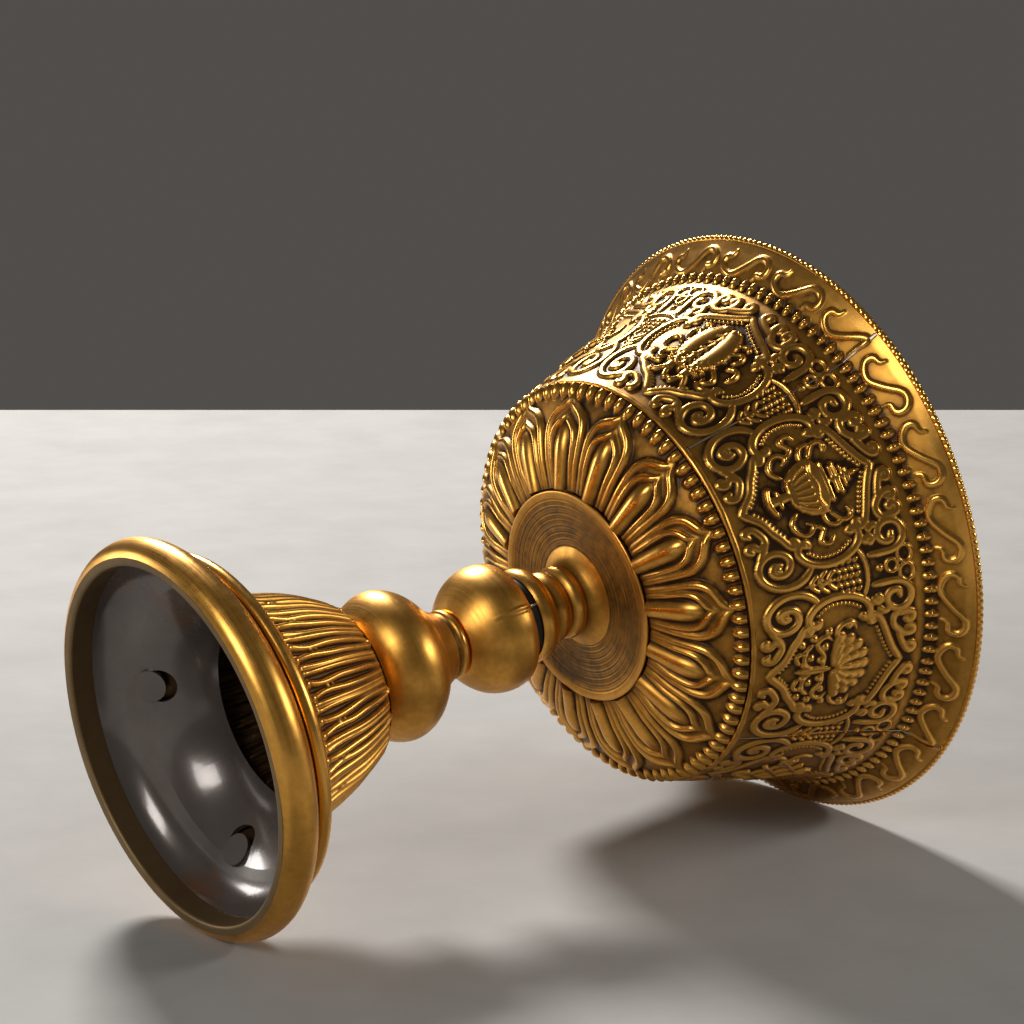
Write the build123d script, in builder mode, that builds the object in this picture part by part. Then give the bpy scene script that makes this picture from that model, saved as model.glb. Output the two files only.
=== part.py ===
from build123d import *
import os
from math import cos, pi, radians, sin

# Embossed brass butter lamp: a turned and soldered foot and stem, and an
# embossed bowl that unscrews from the stem at the black washer.
# Millimetres, +Z up, origin at the centre of the face that the foot stands on.
os.makedirs("parts", exist_ok=True)

# ---- driving dimensions -------------------------------------------------
FOOT_FACE_R = 26.3          # outer edge of the flat standing face
FOOT_ROLL_R = 28.1          # widest point of the rolled base ring
FOOT_MOUTH_R = 24.9         # inner wall of the base ring
FLANGE_R = 24.6             # flange at the bottom of the fluted skirt
SKIRT_BASE_Z = 7.0
SKIRT_TOP_Z = 29.6
BALL_Z = 35.9
BALL_R = 10.8
BALL_HALF_HEIGHT = 6.96
BALL_TOP_Z = 40.35
COLLAR_TOP_Z = 46.7
BELL_MOUTH_Z = 55.6
BELL_R = 9.25
SPOOL_BASE_Z = 58.4
DISC_BASE_Z = 69.5
DISC_R = 15.8
PAN_RIM_R = 30.0
PAN_RIM_Z = 76.9
WALL_BASE_Z = 77.0
BEAD_LINE_R = 38.7          # the beaded line where the wall turns into the lip
BEAD_LINE_Z = 102.3
RIM_R = 44.2
RIM_Z = 107.1

SHEET = 0.8                 # embossed brass sheet
LINER_SHEET = 0.7           # steel liner inside the foot
CUP_SHEET = 0.6             # plain inner bowl
GAP = 0.1                   # between sheets that lie against each other
RELIEF = 0.45               # height of the embossed work

BORE_R = 3.1                # clearance bore for the M6 rods
ROD_R = 3.0
THREAD_FIT = 0.06           # radial play of the bowl's stud in its bush

PETALS = 16
PETAL_PHASE = 1.0
PAN_BEADS = 88
PANELS = 4
PANEL_ARC = 360 / PANELS
SEAM = 0.3                  # degrees left free at each soldered seam
LIP_BEADS_PER_PANEL = 32
FLUTES = 40
FLUTE_PHASE = 7.0
LUGS = 4
LUG_PHASE = 56.0
LUG_R = 17.43               # middle of each lug's hole on the liner's inner face
LUG_Z = 9.67
LUG_LEAN = 40.1             # slope of the liner's cone at the lugs
LUG_HOLE_R = 2.4
LUG_HOLE_DEPTH = 3.0
LUG_SLIP = 1.4              # how far each disc has slid down the cone
LUG_DISC_R = 2.3
LUG_DISC_SHEET = 0.6
LUG_DISC_BITE = 0.25        # depth of the disc in the cone's sheet


def half_plane(angle):
    """Upright plane through the axis, its x running outwards at the angle."""
    a = radians(angle)
    return Plane(origin=(0, 0, 0), x_dir=(cos(a), sin(a), 0), z_dir=(sin(a), -cos(a), 0))


def outward_plane(angle, radius, height):
    """Plane that faces outwards at the angle, its y pointing up."""
    a = radians(angle)
    return Plane(
        origin=(radius * cos(a), radius * sin(a), height),
        x_dir=(-sin(a), cos(a), 0),
        z_dir=(cos(a), sin(a), 0),
    )


def keep(piece, name):
    """Label one piece and save it under its node name."""
    piece.part.label = name
    export_step(piece.part, f"parts/{name}.step")


# ---- foot ---------------------------------------------------------------
# Rolled base ring: flat standing face, round outer roll, seat for the liner.
LINER_SEAT_Z = 3.5
with BuildPart() as foot_ring:
    with BuildSketch(Plane.XZ):
        with BuildLine():
            ThreePointArc((FOOT_FACE_R, 0), (FOOT_ROLL_R, 3.2), (25.6, 6.0))
            Polyline(
                (25.6, 6.0),
                (23.9, 6.85),
                (25.8, 4.1),
                (25.8, LINER_SEAT_Z),
                (FOOT_MOUTH_R, LINER_SEAT_Z),
                (FOOT_MOUTH_R, 0.4),
                (FOOT_MOUTH_R + 0.4, 0),
                (FOOT_FACE_R, 0),
            )
        make_face()
    revolve(axis=Axis.Z)


def skirt_outline(grow, low=(20.4, 9.6), high=(10.4, 28.9)):
    """The fluted skirt's line: a concave foot, then a slightly bulging cone."""
    ThreePointArc((low[0] + grow, low[1]), (16.9 + grow, 13.4), (15.2 + grow, 18.6))
    ThreePointArc((15.2 + grow, 18.6), (13.1 + grow, 24.2), (high[0] + grow, high[1]))


# Flutes: upright ribs that alternate between pairs and single broad ridges.
with BuildPart() as flute_skin:
    with BuildSketch(Plane.XZ):
        with BuildLine():
            skirt_outline(RELIEF)
            skirt_outline(-0.1)
            Line((10.4 + RELIEF, 28.9), (10.3, 28.9))
            Line((20.3, 9.6), (20.4 + RELIEF, 9.6))
        make_face()
    revolve(axis=Axis.Z)

FLUTE_WIDTH = 1.0
with BuildPart() as flute_star:
    with BuildSketch(Plane.XY.offset(11.0)):
        Circle(radius=9.5)
        with PolarLocations(0, FLUTES, start_angle=FLUTE_PHASE):
            with Locations((9.5, 0)):
                Rectangle(19, FLUTE_WIDTH)
    extrude(amount=17.2)
flute_ribs = flute_skin.part & flute_star.part

# Fluted skirt: a thin shell with the flange that shows above the base ring.
SKIRT_INNER_LOW = (20.7, 8.9)
SKIRT_INNER_HIGH = (9.9, SKIRT_TOP_Z - 1.3)
CLAMP_SEAT_R = 7.0          # flat under the top plate, where the washer bears
with BuildPart() as fluted_skirt:
    with BuildSketch(Plane.XZ):
        with BuildLine():
            Polyline(
                (SKIRT_INNER_LOW[0] - SHEET, SKIRT_INNER_LOW[1]),
                (22.0, 8.7),
                (23.4, 7.3),
                (23.6, SKIRT_BASE_Z),
                (24.0, SKIRT_BASE_Z),
            )
            ThreePointArc((24.0, SKIRT_BASE_Z), (FLANGE_R, 8.1), (24.0, 9.2))
            Line((24.0, 9.2), (20.4, 9.6))
            skirt_outline(0)
            Polyline(
                (10.4, 28.9),
                (8.6, SKIRT_TOP_Z),
                (BORE_R, SKIRT_TOP_Z),
                (BORE_R, SKIRT_TOP_Z - SHEET),
                (CLAMP_SEAT_R, SKIRT_TOP_Z - SHEET),
                (SKIRT_INNER_HIGH[0] - SHEET, SKIRT_INNER_HIGH[1]),
            )
            skirt_outline(-SHEET, SKIRT_INNER_LOW, SKIRT_INNER_HIGH)
        make_face()
    revolve(axis=Axis.Z)
    add(flute_ribs)

# Steel liner: a rounded band, a small step and a steep cone that is open in
# the middle, where the inside of the skirt shows.
with BuildPart() as foot_liner:
    with BuildSketch(Plane.XZ):
        with BuildLine():
            ThreePointArc((24.85, LINER_SEAT_Z + GAP / 2), (23.6, 5.9), (21.3, 7.4))
            Line((21.3, 7.4), (19.8, 8.05))
            ThreePointArc((19.8, 8.05), (15.7, 11.4), (13.0, 16.4))
            Line((13.0, 16.4), (13.65, 16.6))
            ThreePointArc((13.65, 16.6), (16.25, 11.9), (20.25, 8.65))
            Line((20.25, 8.65), (21.65, 8.1))
            ThreePointArc((21.65, 8.1), (24.3, 5.9), (24.85 + LINER_SHEET, LINER_SEAT_Z + GAP / 2))
            Line((24.85 + LINER_SHEET, LINER_SEAT_Z + GAP / 2), (24.85, LINER_SEAT_Z + GAP / 2))
        make_face()
    revolve(axis=Axis.Z)
    # Each lug is a hole with its pressed-out disc slid down beside it.
    for k in range(LUGS):
        sheet_face = half_plane(LUG_PHASE + 360 / LUGS * k) * Pos(LUG_R, LUG_Z) * Rot(0, 0, -LUG_LEAN)
        hole = sheet_face * Rot(90, 0, 0)
        with Locations(hole):
            Cylinder(radius=LUG_HOLE_R, height=LUG_HOLE_DEPTH, mode=Mode.SUBTRACT)
        disc = sheet_face * Pos(LUG_SLIP, LUG_DISC_BITE - LUG_DISC_SHEET / 2) * Rot(90, 0, 0)
        with Locations(disc):
            Cylinder(radius=LUG_DISC_R, height=LUG_DISC_SHEET)

# Washer and nut that clamp the skirt and the stem together, inside the skirt.
TIE_NUT_HEIGHT = 4.0
TIE_WASHER_TOP_Z = SKIRT_TOP_Z - SHEET - GAP / 2
TIE_WASHER_HEIGHT = 0.95
TIE_NUT_TOP_Z = TIE_WASHER_TOP_Z - TIE_WASHER_HEIGHT - GAP / 2
with BuildPart() as tie_washer:
    with BuildSketch(Plane.XY.offset(TIE_WASHER_TOP_Z - TIE_WASHER_HEIGHT)):
        Circle(radius=6.2)
        Circle(radius=BORE_R + 0.1, mode=Mode.SUBTRACT)
    extrude(amount=TIE_WASHER_HEIGHT)

with BuildPart() as tie_nut:
    with BuildSketch(Plane.XY.offset(TIE_NUT_TOP_Z - TIE_NUT_HEIGHT)):
        RegularPolygon(radius=5.7, side_count=6)
        Circle(radius=ROD_R + 0.05, mode=Mode.SUBTRACT)
    extrude(amount=TIE_NUT_HEIGHT)
    chamfer(tie_nut.edges().filter_by(GeomType.LINE).group_by(Axis.Z)[0], length=0.4)

TIE_ROD_BASE_Z = TIE_NUT_TOP_Z - TIE_NUT_HEIGHT - 1.0
TIE_ROD_TOP_Z = 48.9
with BuildPart() as tie_rod:
    with BuildSketch(Plane.XY.offset(TIE_ROD_BASE_Z)):
        Circle(radius=ROD_R)
    extrude(amount=TIE_ROD_TOP_Z - TIE_ROD_BASE_Z)
    chamfer(tie_rod.edges().filter_by(GeomType.CIRCLE), length=0.5)

# ---- stem ---------------------------------------------------------------
# Ball knop: an oblate turned ball, cut flat where it meets its neighbours.
BALL_BASE_Z = SKIRT_TOP_Z + 0.05
with BuildPart() as ball_knop:
    with BuildSketch(Plane.XZ):
        with Locations((0, BALL_Z)):
            Ellipse(BALL_R, BALL_HALF_HEIGHT)
        with Locations((BALL_R / 2 + BORE_R, (BALL_BASE_Z + BALL_TOP_Z) / 2)):
            Rectangle(BALL_R, BALL_TOP_Z - BALL_BASE_Z, mode=Mode.INTERSECT)
    revolve(axis=Axis.Z)

# Stepped neck collar with a thin bead at its top.
with BuildPart() as neck_collar:
    with BuildSketch(Plane.XZ):
        with BuildLine():
            Polyline(
                (BORE_R, BALL_TOP_Z + 0.05),
                (8.0, BALL_TOP_Z + 0.05),
                (8.0, BALL_TOP_Z + 0.5),
                (7.3, BALL_TOP_Z + 0.7),
            )
            Spline((7.3, BALL_TOP_Z + 0.7), (6.3, 42.3), (5.5, 43.6), (5.15, 44.4))
            Polyline((5.15, 44.4), (4.7, 44.6), (4.7, 45.3))
            ThreePointArc((4.7, 45.3), (5.0, 45.9), (4.7, COLLAR_TOP_Z - 0.2))
            Polyline(
                (4.7, COLLAR_TOP_Z - 0.2),
                (4.4, COLLAR_TOP_Z),
                (BORE_R, COLLAR_TOP_Z),
                (BORE_R, BALL_TOP_Z + 0.05),
            )
        make_face()
    revolve(axis=Axis.Z)

# Threaded bush: holds the tie rod below and takes the bowl's stud above.
BUSH_R = 4.6
BUSH_TOP_Z = 54.9
with BuildPart() as threaded_bush:
    with BuildSketch(Plane.XY.offset(COLLAR_TOP_Z + 1.3)):
        Circle(radius=BUSH_R)
        Circle(radius=ROD_R + THREAD_FIT, mode=Mode.SUBTRACT)
    extrude(amount=BUSH_TOP_Z - COLLAR_TOP_Z - 1.3)

# Bell knop: cast solid round the bush, with a shallow dished mouth.
with BuildPart() as bell_knop:
    with BuildSketch(Plane.XZ):
        with BuildLine():
            Line((BORE_R, COLLAR_TOP_Z + 0.05), (4.9, COLLAR_TOP_Z + 0.05))
            Spline(
                (4.9, COLLAR_TOP_Z + 0.05),
                (6.3, 47.9),
                (7.6, 49.2),
                (8.75, 51.0),
                (BELL_R, 53.2),
                (BELL_R - 0.1, 54.6),
                (8.94, BELL_MOUTH_Z),
            )
            Polyline((8.94, BELL_MOUTH_Z), (8.2, BELL_MOUTH_Z))
            ThreePointArc((8.2, BELL_MOUTH_Z), (7.4, 54.5), (6.7, 54.1))
            Polyline(
                (6.7, 54.1),
                (BUSH_R + 0.05, 54.1),
                (BUSH_R + 0.05, COLLAR_TOP_Z + 1.25),
                (BORE_R, COLLAR_TOP_Z + 1.25),
                (BORE_R, COLLAR_TOP_Z + 0.05),
            )
        make_face()
    revolve(axis=Axis.Z)

# Black washer in the joint between the stem and the bowl.
with BuildPart() as joint_washer:
    with BuildSketch(Plane.XY.offset(BUSH_TOP_Z + 0.05)):
        Circle(radius=6.3)
        Circle(radius=BORE_R + 0.15, mode=Mode.SUBTRACT)
    extrude(amount=SPOOL_BASE_Z - BUSH_TOP_Z - 0.1)
    fillet(joint_washer.edges().filter_by(GeomType.CIRCLE).sort_by(SortBy.RADIUS)[-2:], radius=0.3)

# ---- bowl ---------------------------------------------------------------
# Spool: three turned rings and a flare, with a pocket for the jam nut.
POCKET_R = 5.75
POCKET_TOP_Z = SPOOL_BASE_Z + 2.3
with BuildPart() as ring_spool:
    with BuildSketch(Plane.XZ):
        with BuildLine():
            Line((POCKET_R, SPOOL_BASE_Z), (6.5, SPOOL_BASE_Z))
            ThreePointArc((6.5, SPOOL_BASE_Z), (6.9, 60.1), (5.3, 61.9))
            Line((5.3, 61.9), (4.75, 62.15))
            ThreePointArc((4.75, 62.15), (5.25, 63.7), (4.6, 65.05))
            ThreePointArc((4.6, 65.05), (5.45, 66.5), (4.95, 67.55))
            ThreePointArc((4.95, 67.55), (5.85, 68.75), (7.4, DISC_BASE_Z - 0.05))
            Polyline(
                (7.4, DISC_BASE_Z - 0.05),
                (BORE_R, DISC_BASE_Z - 0.05),
                (BORE_R, POCKET_TOP_Z),
                (POCKET_R, POCKET_TOP_Z),
                (POCKET_R, SPOOL_BASE_Z),
            )
        make_face()
    revolve(axis=Axis.Z)

with BuildPart() as jam_nut:
    with BuildSketch(Plane.XY.offset(SPOOL_BASE_Z + 0.1)):
        RegularPolygon(radius=5.6, side_count=6)
        Circle(radius=ROD_R + 0.05, mode=Mode.SUBTRACT)
    extrude(amount=POCKET_TOP_Z - SPOOL_BASE_Z - 0.15)

# Turned disc under the petals, very slightly dished towards the foot.
DISC_TOP_Z = 70.35
with BuildPart() as dish_disc:
    with BuildSketch(Plane.XZ):
        with BuildLine():
            Line((BORE_R, DISC_BASE_Z), (9.0, DISC_BASE_Z))
            Spline((9.0, DISC_BASE_Z), (12.5, DISC_BASE_Z - 0.1), (DISC_R - 0.2, DISC_BASE_Z - 0.35))
            ThreePointArc(
                (DISC_R - 0.2, DISC_BASE_Z - 0.35),
                (DISC_R, DISC_BASE_Z),
                (DISC_R - 0.2, DISC_BASE_Z + 0.35),
            )
            Polyline(
                (DISC_R - 0.2, DISC_BASE_Z + 0.35),
                (DISC_R - 0.6, DISC_TOP_Z),
                (BORE_R, DISC_TOP_Z),
                (BORE_R, DISC_BASE_Z),
            )
        make_face()
    revolve(axis=Axis.Z)


PAN_LINE_IN = (DISC_R + 0.3, 70.45)
PAN_LINE_OUT = (PAN_RIM_R - 0.3, PAN_RIM_Z - SHEET)
PAN_KNEE = (21.6, 71.6)
PAN_SHOULDER = (26.6, 73.75)


def pan_line(lower):
    """Outer line of the petal pan, moved down by lower."""
    Polyline(
        (PAN_LINE_IN[0], PAN_LINE_IN[1] - lower),
        (PAN_KNEE[0], PAN_KNEE[1] - lower),
        (PAN_SHOULDER[0], PAN_SHOULDER[1] - lower),
        (PAN_LINE_OUT[0], PAN_LINE_OUT[1] - lower),
    )


# Petals: an outer outline, an inner outline and a raised ridge along each.
PETAL_HALF_ANGLE = 8.7
INNER_HALF_ANGLE = 6.6
RIDGE_HALF_ANGLE = 3.0
PETAL_LINE = 0.55


def petal_points(half_angle, shoulder, tip):
    """Half of one petal's plan outline, from its root to its ogee tip."""
    a = radians(half_angle)
    root = DISC_R + 0.6
    return (
        (root * cos(a), root * sin(a)),
        (shoulder * cos(a), shoulder * sin(a)),
        ((shoulder + tip) / 2, shoulder * sin(a) * 0.62),
        (tip - 0.9, 0.45),
        (tip, 0),
    )


def petal_face(half_angle, shoulder, tip):
    """Closed plan outline of one petal, pointing along +X."""
    side = petal_points(half_angle, shoulder, tip)
    for sign in (1, -1):
        root, corner, curve, neck, point = [(x, sign * y) for x, y in side]
        Line(root, corner)
        ThreePointArc(corner, curve, neck)
        Line(neck, point)
    Line((side[0][0], side[0][1]), (side[0][0], -side[0][1]))


with BuildPart() as petal_frames:
    with BuildSketch(Plane.XY.offset(66)):
        with BuildLine():
            petal_face(PETAL_HALF_ANGLE, 23.6, 27.4)
        make_face()
        with BuildLine():
            petal_face(PETAL_HALF_ANGLE - 1.3, 23.3, 26.4)
        make_face(mode=Mode.SUBTRACT)
        with BuildLine():
            petal_face(INNER_HALF_ANGLE, 22.0, 25.3)
        make_face()
        with BuildLine():
            petal_face(INNER_HALF_ANGLE - 1.2, 21.7, 24.3)
        make_face(mode=Mode.SUBTRACT)
        with BuildLine():
            petal_face(RIDGE_HALF_ANGLE, 21.6, 23.4)
        make_face()
    extrude(amount=10)

with BuildPart() as petal_skin:
    with BuildSketch(Plane.XZ):
        with BuildLine():
            pan_line(RELIEF)
            pan_line(-0.1)
            Line(Vector(*PAN_LINE_OUT) - (0, RELIEF), Vector(*PAN_LINE_OUT) + (0, 0.1))
            Line(Vector(*PAN_LINE_IN) - (0, RELIEF), Vector(*PAN_LINE_IN) + (0, 0.1))
        make_face()
    revolve(axis=Axis.Z)
one_petal = petal_frames.part & petal_skin.part

# Petal pan: embossed sheet from the disc out to the beaded edge.
PAN_BEAD_R = 28.5
PAN_BEAD_Z = 74.9
PAN_BEAD_PHASE = 180 / PAN_BEADS
BEAD_R = 0.7
with BuildPart() as petal_pan:
    with BuildSketch(Plane.XZ):
        with BuildLine():
            pan_line(0)
            pan_line(-SHEET)
            Line(PAN_LINE_OUT, (PAN_LINE_OUT[0], PAN_RIM_Z))
            Polyline(
                PAN_LINE_IN,
                (BORE_R, PAN_LINE_IN[1]),
                (BORE_R, PAN_LINE_IN[1] + SHEET),
                (PAN_LINE_IN[0], PAN_LINE_IN[1] + SHEET),
            )
        make_face()
    revolve(axis=Axis.Z)
    with Locations((0, 0, PAN_BEAD_Z)):
        with PolarLocations(PAN_BEAD_R, PAN_BEADS, start_angle=PAN_BEAD_PHASE):
            Sphere(radius=BEAD_R)
    with PolarLocations(0, PETALS, start_angle=PETAL_PHASE):
        add(one_petal)


def wall_line(grow):
    """Outer line of the embossed wall, moved out by grow."""
    ThreePointArc(
        (PAN_RIM_R + grow, WALL_BASE_Z),
        (34.2 + grow, 90.4),
        (BEAD_LINE_R + grow, BEAD_LINE_Z),
    )


def lip_line(grow):
    """Outer line of the flared lip, from the beaded line to the rim."""
    ThreePointArc(
        (BEAD_LINE_R + grow, BEAD_LINE_Z),
        (41.7 + grow, 104.4),
        (RIM_R - 0.5 + grow, RIM_Z - 0.9),
    )


# Cartouche frames: one raised outline round each medallion.
MEDALLION_Z = 88.9
MEDALLION_HALF_W = 10.4
MEDALLION_HALF_H = 9.8


def cartouche(half_width, half_height):
    """Four-lobed outline with points at the top and bottom."""
    w, h = half_width, half_height
    for sx in (1, -1):
        for sy in (1, -1):
            ThreePointArc((0, sy * h), (sx * w * 0.34, sy * h * 0.74), (sx * w * 0.68, sy * h * 0.56))
            ThreePointArc((sx * w * 0.68, sy * h * 0.56), (sx * w * 0.92, sy * h * 0.32), (sx * w, 0))


frames = []
for k in range(2 * PANELS):
    frame_angle = PANEL_ARC / 4 + PANEL_ARC / 2 * k
    with BuildPart() as frame_bar:
        with BuildSketch(outward_plane(frame_angle, 20, MEDALLION_Z)):
            with BuildLine():
                cartouche(MEDALLION_HALF_W, MEDALLION_HALF_H)
            make_face()
            with BuildLine():
                cartouche(MEDALLION_HALF_W - 1.1, MEDALLION_HALF_H - 1.2)
            make_face(mode=Mode.SUBTRACT)
        extrude(amount=25)
    frames.append(frame_bar.part)

with BuildPart() as wall_skin:
    with BuildSketch(Plane.XZ):
        with BuildLine():
            wall_line(RELIEF)
            wall_line(-0.1)
            Line((PAN_RIM_R + RELIEF, WALL_BASE_Z), (PAN_RIM_R - 0.1, WALL_BASE_Z))
            Line((BEAD_LINE_R + RELIEF, BEAD_LINE_Z), (BEAD_LINE_R - 0.1, BEAD_LINE_Z))
        make_face()
    revolve(axis=Axis.Z)
raised_frames = [frame & wall_skin.part for frame in frames]


def wall_panel(index):
    """One embossed quarter of the wall and lip."""
    start = PANEL_ARC * index + SEAM / 2
    with BuildPart() as panel:
        with BuildSketch(half_plane(start)):
            with BuildLine():
                wall_line(0)
                lip_line(0)
                wall_line(-SHEET)
                lip_line(-SHEET)
                Line((PAN_RIM_R, WALL_BASE_Z), (PAN_RIM_R - SHEET, WALL_BASE_Z))
                Line((RIM_R - 0.5, RIM_Z - 0.9), (RIM_R - 0.5 - SHEET, RIM_Z - 0.9))
            make_face()
        revolve(axis=Axis.Z, revolution_arc=PANEL_ARC - SEAM)
        add(raised_frames[2 * index])
        add(raised_frames[2 * index + 1])
        bead_step = PANEL_ARC / LIP_BEADS_PER_PANEL
        with Locations((0, 0, BEAD_LINE_Z)):
            with PolarLocations(
                BEAD_LINE_R + 0.2,
                LIP_BEADS_PER_PANEL,
                start_angle=PANEL_ARC * index + bead_step / 2,
                angular_range=PANEL_ARC,
            ):
                Sphere(radius=BEAD_R - 0.05)
    return panel


panels = [wall_panel(index) for index in range(PANELS)]

# Inner cup: the plain bowl that holds the butter, its lip inside the panels.
CUP_FLOOR_Z = 73.0
INSET = SHEET + GAP + 0.15
with BuildPart() as inner_cup:
    with BuildSketch(Plane.XZ):
        with BuildLine():
            for thick in (0, CUP_SHEET):
                Line((BORE_R, CUP_FLOOR_Z + thick), (17.0, CUP_FLOOR_Z + thick))
                ThreePointArc((17.0, CUP_FLOOR_Z + thick), (24.6 - thick / 2, 75.2 + thick), (28.2 - thick, 79.2))
                ThreePointArc((28.2 - thick, 79.2), (32.9 - thick, 91.0), (BEAD_LINE_R - INSET - thick, BEAD_LINE_Z))
                ThreePointArc(
                    (BEAD_LINE_R - INSET - thick, BEAD_LINE_Z),
                    (41.7 - INSET - thick, 104.5),
                    (RIM_R - 0.6 - INSET - thick, RIM_Z - 0.9),
                )
            Line((BORE_R, CUP_FLOOR_Z), (BORE_R, CUP_FLOOR_Z + CUP_SHEET))
            Line((RIM_R - 0.6 - INSET, RIM_Z - 0.9), (RIM_R - 0.6 - INSET - CUP_SHEET, RIM_Z - 0.9))
        make_face()
    revolve(axis=Axis.Z)

# Milled rim: a narrow ring that closes the edge over the panels and the cup.
with BuildPart() as rim_ring:
    with BuildSketch(Plane.XZ):
        with BuildLine():
            Line((RIM_R - 2.2, RIM_Z - 0.85), (RIM_R - 0.3, RIM_Z - 0.85))
            ThreePointArc((RIM_R - 0.3, RIM_Z - 0.85), (RIM_R + 0.1, RIM_Z - 0.4), (RIM_R - 0.2, RIM_Z + 0.1))
            ThreePointArc((RIM_R - 0.2, RIM_Z + 0.1), (RIM_R - 1.4, RIM_Z - 0.05), (RIM_R - 2.2, RIM_Z - 0.85))
        make_face()
    revolve(axis=Axis.Z)

# Spacer between the pan and the cup, round the stud.
SPACER_BASE_Z = PAN_LINE_IN[1] + SHEET + GAP / 2
with BuildPart() as pan_spacer:
    with BuildSketch(Plane.XY.offset(SPACER_BASE_Z)):
        Circle(radius=9.0)
        Circle(radius=BORE_R + 0.1, mode=Mode.SUBTRACT)
    extrude(amount=CUP_FLOOR_Z - SPACER_BASE_Z - GAP / 2)

# Stud that holds the bowl together and screws into the stem.
STUD_BASE_Z = 49.3
STUD_TOP_Z = 77.0
with BuildPart() as bowl_stud:
    with BuildSketch(Plane.XY.offset(STUD_BASE_Z)):
        Circle(radius=ROD_R)
    extrude(amount=STUD_TOP_Z - STUD_BASE_Z)
    chamfer(bowl_stud.edges().filter_by(GeomType.CIRCLE), length=0.5)

# Wick holder: domed nut on the stud, with the socket that the wick stands in.
WICK_HOLDER_BASE_Z = CUP_FLOOR_Z + CUP_SHEET + 0.05
WICK_HOLDER_TOP_Z = 83.0
WICK_R = 1.6
WICK_DEPTH = 5.0
with BuildPart() as wick_holder:
    with BuildSketch(Plane.XZ):
        with BuildLine():
            Polyline(
                (ROD_R + 0.05, WICK_HOLDER_BASE_Z),
                (6.5, WICK_HOLDER_BASE_Z),
                (6.5, WICK_HOLDER_BASE_Z + 0.8),
            )
            Spline((6.5, WICK_HOLDER_BASE_Z + 0.8), (4.6, 77.0), (3.6, 80.0), (3.2, WICK_HOLDER_TOP_Z))
            Polyline(
                (3.2, WICK_HOLDER_TOP_Z),
                (WICK_R, WICK_HOLDER_TOP_Z),
                (WICK_R, WICK_HOLDER_TOP_Z - WICK_DEPTH),
                (0, WICK_HOLDER_TOP_Z - WICK_DEPTH),
                (0, STUD_TOP_Z + 0.1),
                (ROD_R + 0.05, STUD_TOP_Z + 0.1),
                (ROD_R + 0.05, WICK_HOLDER_BASE_Z),
            )
        make_face()
    revolve(axis=Axis.Z)

# ---- save every piece under its node name -------------------------------
keep(foot_ring, "foot_ring")
keep(fluted_skirt, "fluted_skirt")
keep(foot_liner, "foot_liner")
keep(tie_washer, "tie_washer")
keep(tie_nut, "tie_nut")
keep(tie_rod, "tie_rod")
keep(ball_knop, "ball_knop")
keep(neck_collar, "neck_collar")
keep(threaded_bush, "threaded_bush")
keep(bell_knop, "bell_knop")
keep(joint_washer, "joint_washer")
keep(ring_spool, "ring_spool")
keep(jam_nut, "jam_nut")
keep(dish_disc, "dish_disc")
keep(petal_pan, "petal_pan")
for index, panel in enumerate(panels):
    keep(panel, f"wall_panel_{index + 1}")
keep(inner_cup, "inner_cup")
keep(rim_ring, "rim_ring")
keep(pan_spacer, "pan_spacer")
keep(bowl_stud, "bowl_stud")
keep(wick_holder, "wick_holder")
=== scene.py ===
import math

import bpy
import numpy as np
from mathutils import Matrix, Vector


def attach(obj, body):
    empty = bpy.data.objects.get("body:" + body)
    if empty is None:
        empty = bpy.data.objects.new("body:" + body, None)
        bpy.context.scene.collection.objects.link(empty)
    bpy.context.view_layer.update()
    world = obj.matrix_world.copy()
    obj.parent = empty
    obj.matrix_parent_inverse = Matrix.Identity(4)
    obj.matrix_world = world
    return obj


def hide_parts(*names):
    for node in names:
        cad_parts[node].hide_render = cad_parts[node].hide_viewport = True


# Looks of the embossed brass butter lamp. Shapes are worked out in millimetres
# round the lamp's own axis and written to Blender in metres.
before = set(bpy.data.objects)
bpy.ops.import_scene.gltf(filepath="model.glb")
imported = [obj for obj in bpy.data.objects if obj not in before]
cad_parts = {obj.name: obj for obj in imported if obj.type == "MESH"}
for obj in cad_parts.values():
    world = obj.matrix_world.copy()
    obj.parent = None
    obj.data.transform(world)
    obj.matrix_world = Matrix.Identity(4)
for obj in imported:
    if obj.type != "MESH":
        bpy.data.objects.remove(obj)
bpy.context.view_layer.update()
MM = 0.001
rng = np.random.default_rng(7)
EDGE_BACK_POLISH_AND_SHADE = 0.4        # polish and painted shade on the back of a turned-in edge, against its front
PROUD_REACH = 0.9      # mm of profile against which a spot counts as standing proud
PROUD_POLISH_AND_SHADE = 1.9     # how much a proud spot on a turned piece is polished, and a hollow one painted dark as shade
TURNED_COL = 0.35      # mm between the columns of a turned piece's unevenness

# ---- curves and reliefs -------------------------------------------------


def spline(points, step):
    """Evenly spaced points along a smooth curve through the given points."""
    p = np.array(points, float)
    chord = np.hypot(*np.diff(p, axis=0).T)
    t = np.concatenate(([0], np.cumsum(chord)))
    n = max(2, int(t[-1] / step) + 1)
    want = np.linspace(0, t[-1], n)
    if len(p) == 2:
        return np.stack([np.interp(want, t, p[:, k]) for k in (0, 1)], 1)
    h = np.diff(t)
    m = len(p)
    a = np.eye(m)
    b = np.zeros((m, 2))
    for i in range(1, m - 1):
        a[i, i - 1 : i + 2] = h[i - 1], 2 * (h[i - 1] + h[i]), h[i]
        b[i] = 6 * ((p[i + 1] - p[i]) / h[i] - (p[i] - p[i - 1]) / h[i - 1])
    c = np.linalg.solve(a, b)
    i = np.clip(np.searchsorted(t, want, side="right") - 1, 0, m - 2)
    x = (want - t[i])[:, None]
    y = (t[i + 1] - want)[:, None]
    k = h[i][:, None]
    smooth = c[i] * y**3 / (6 * k) + c[i + 1] * x**3 / (6 * k)
    return smooth + (p[i] / k - c[i] * k / 6) * y + (p[i + 1] / k - c[i + 1] * k / 6) * x


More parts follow.
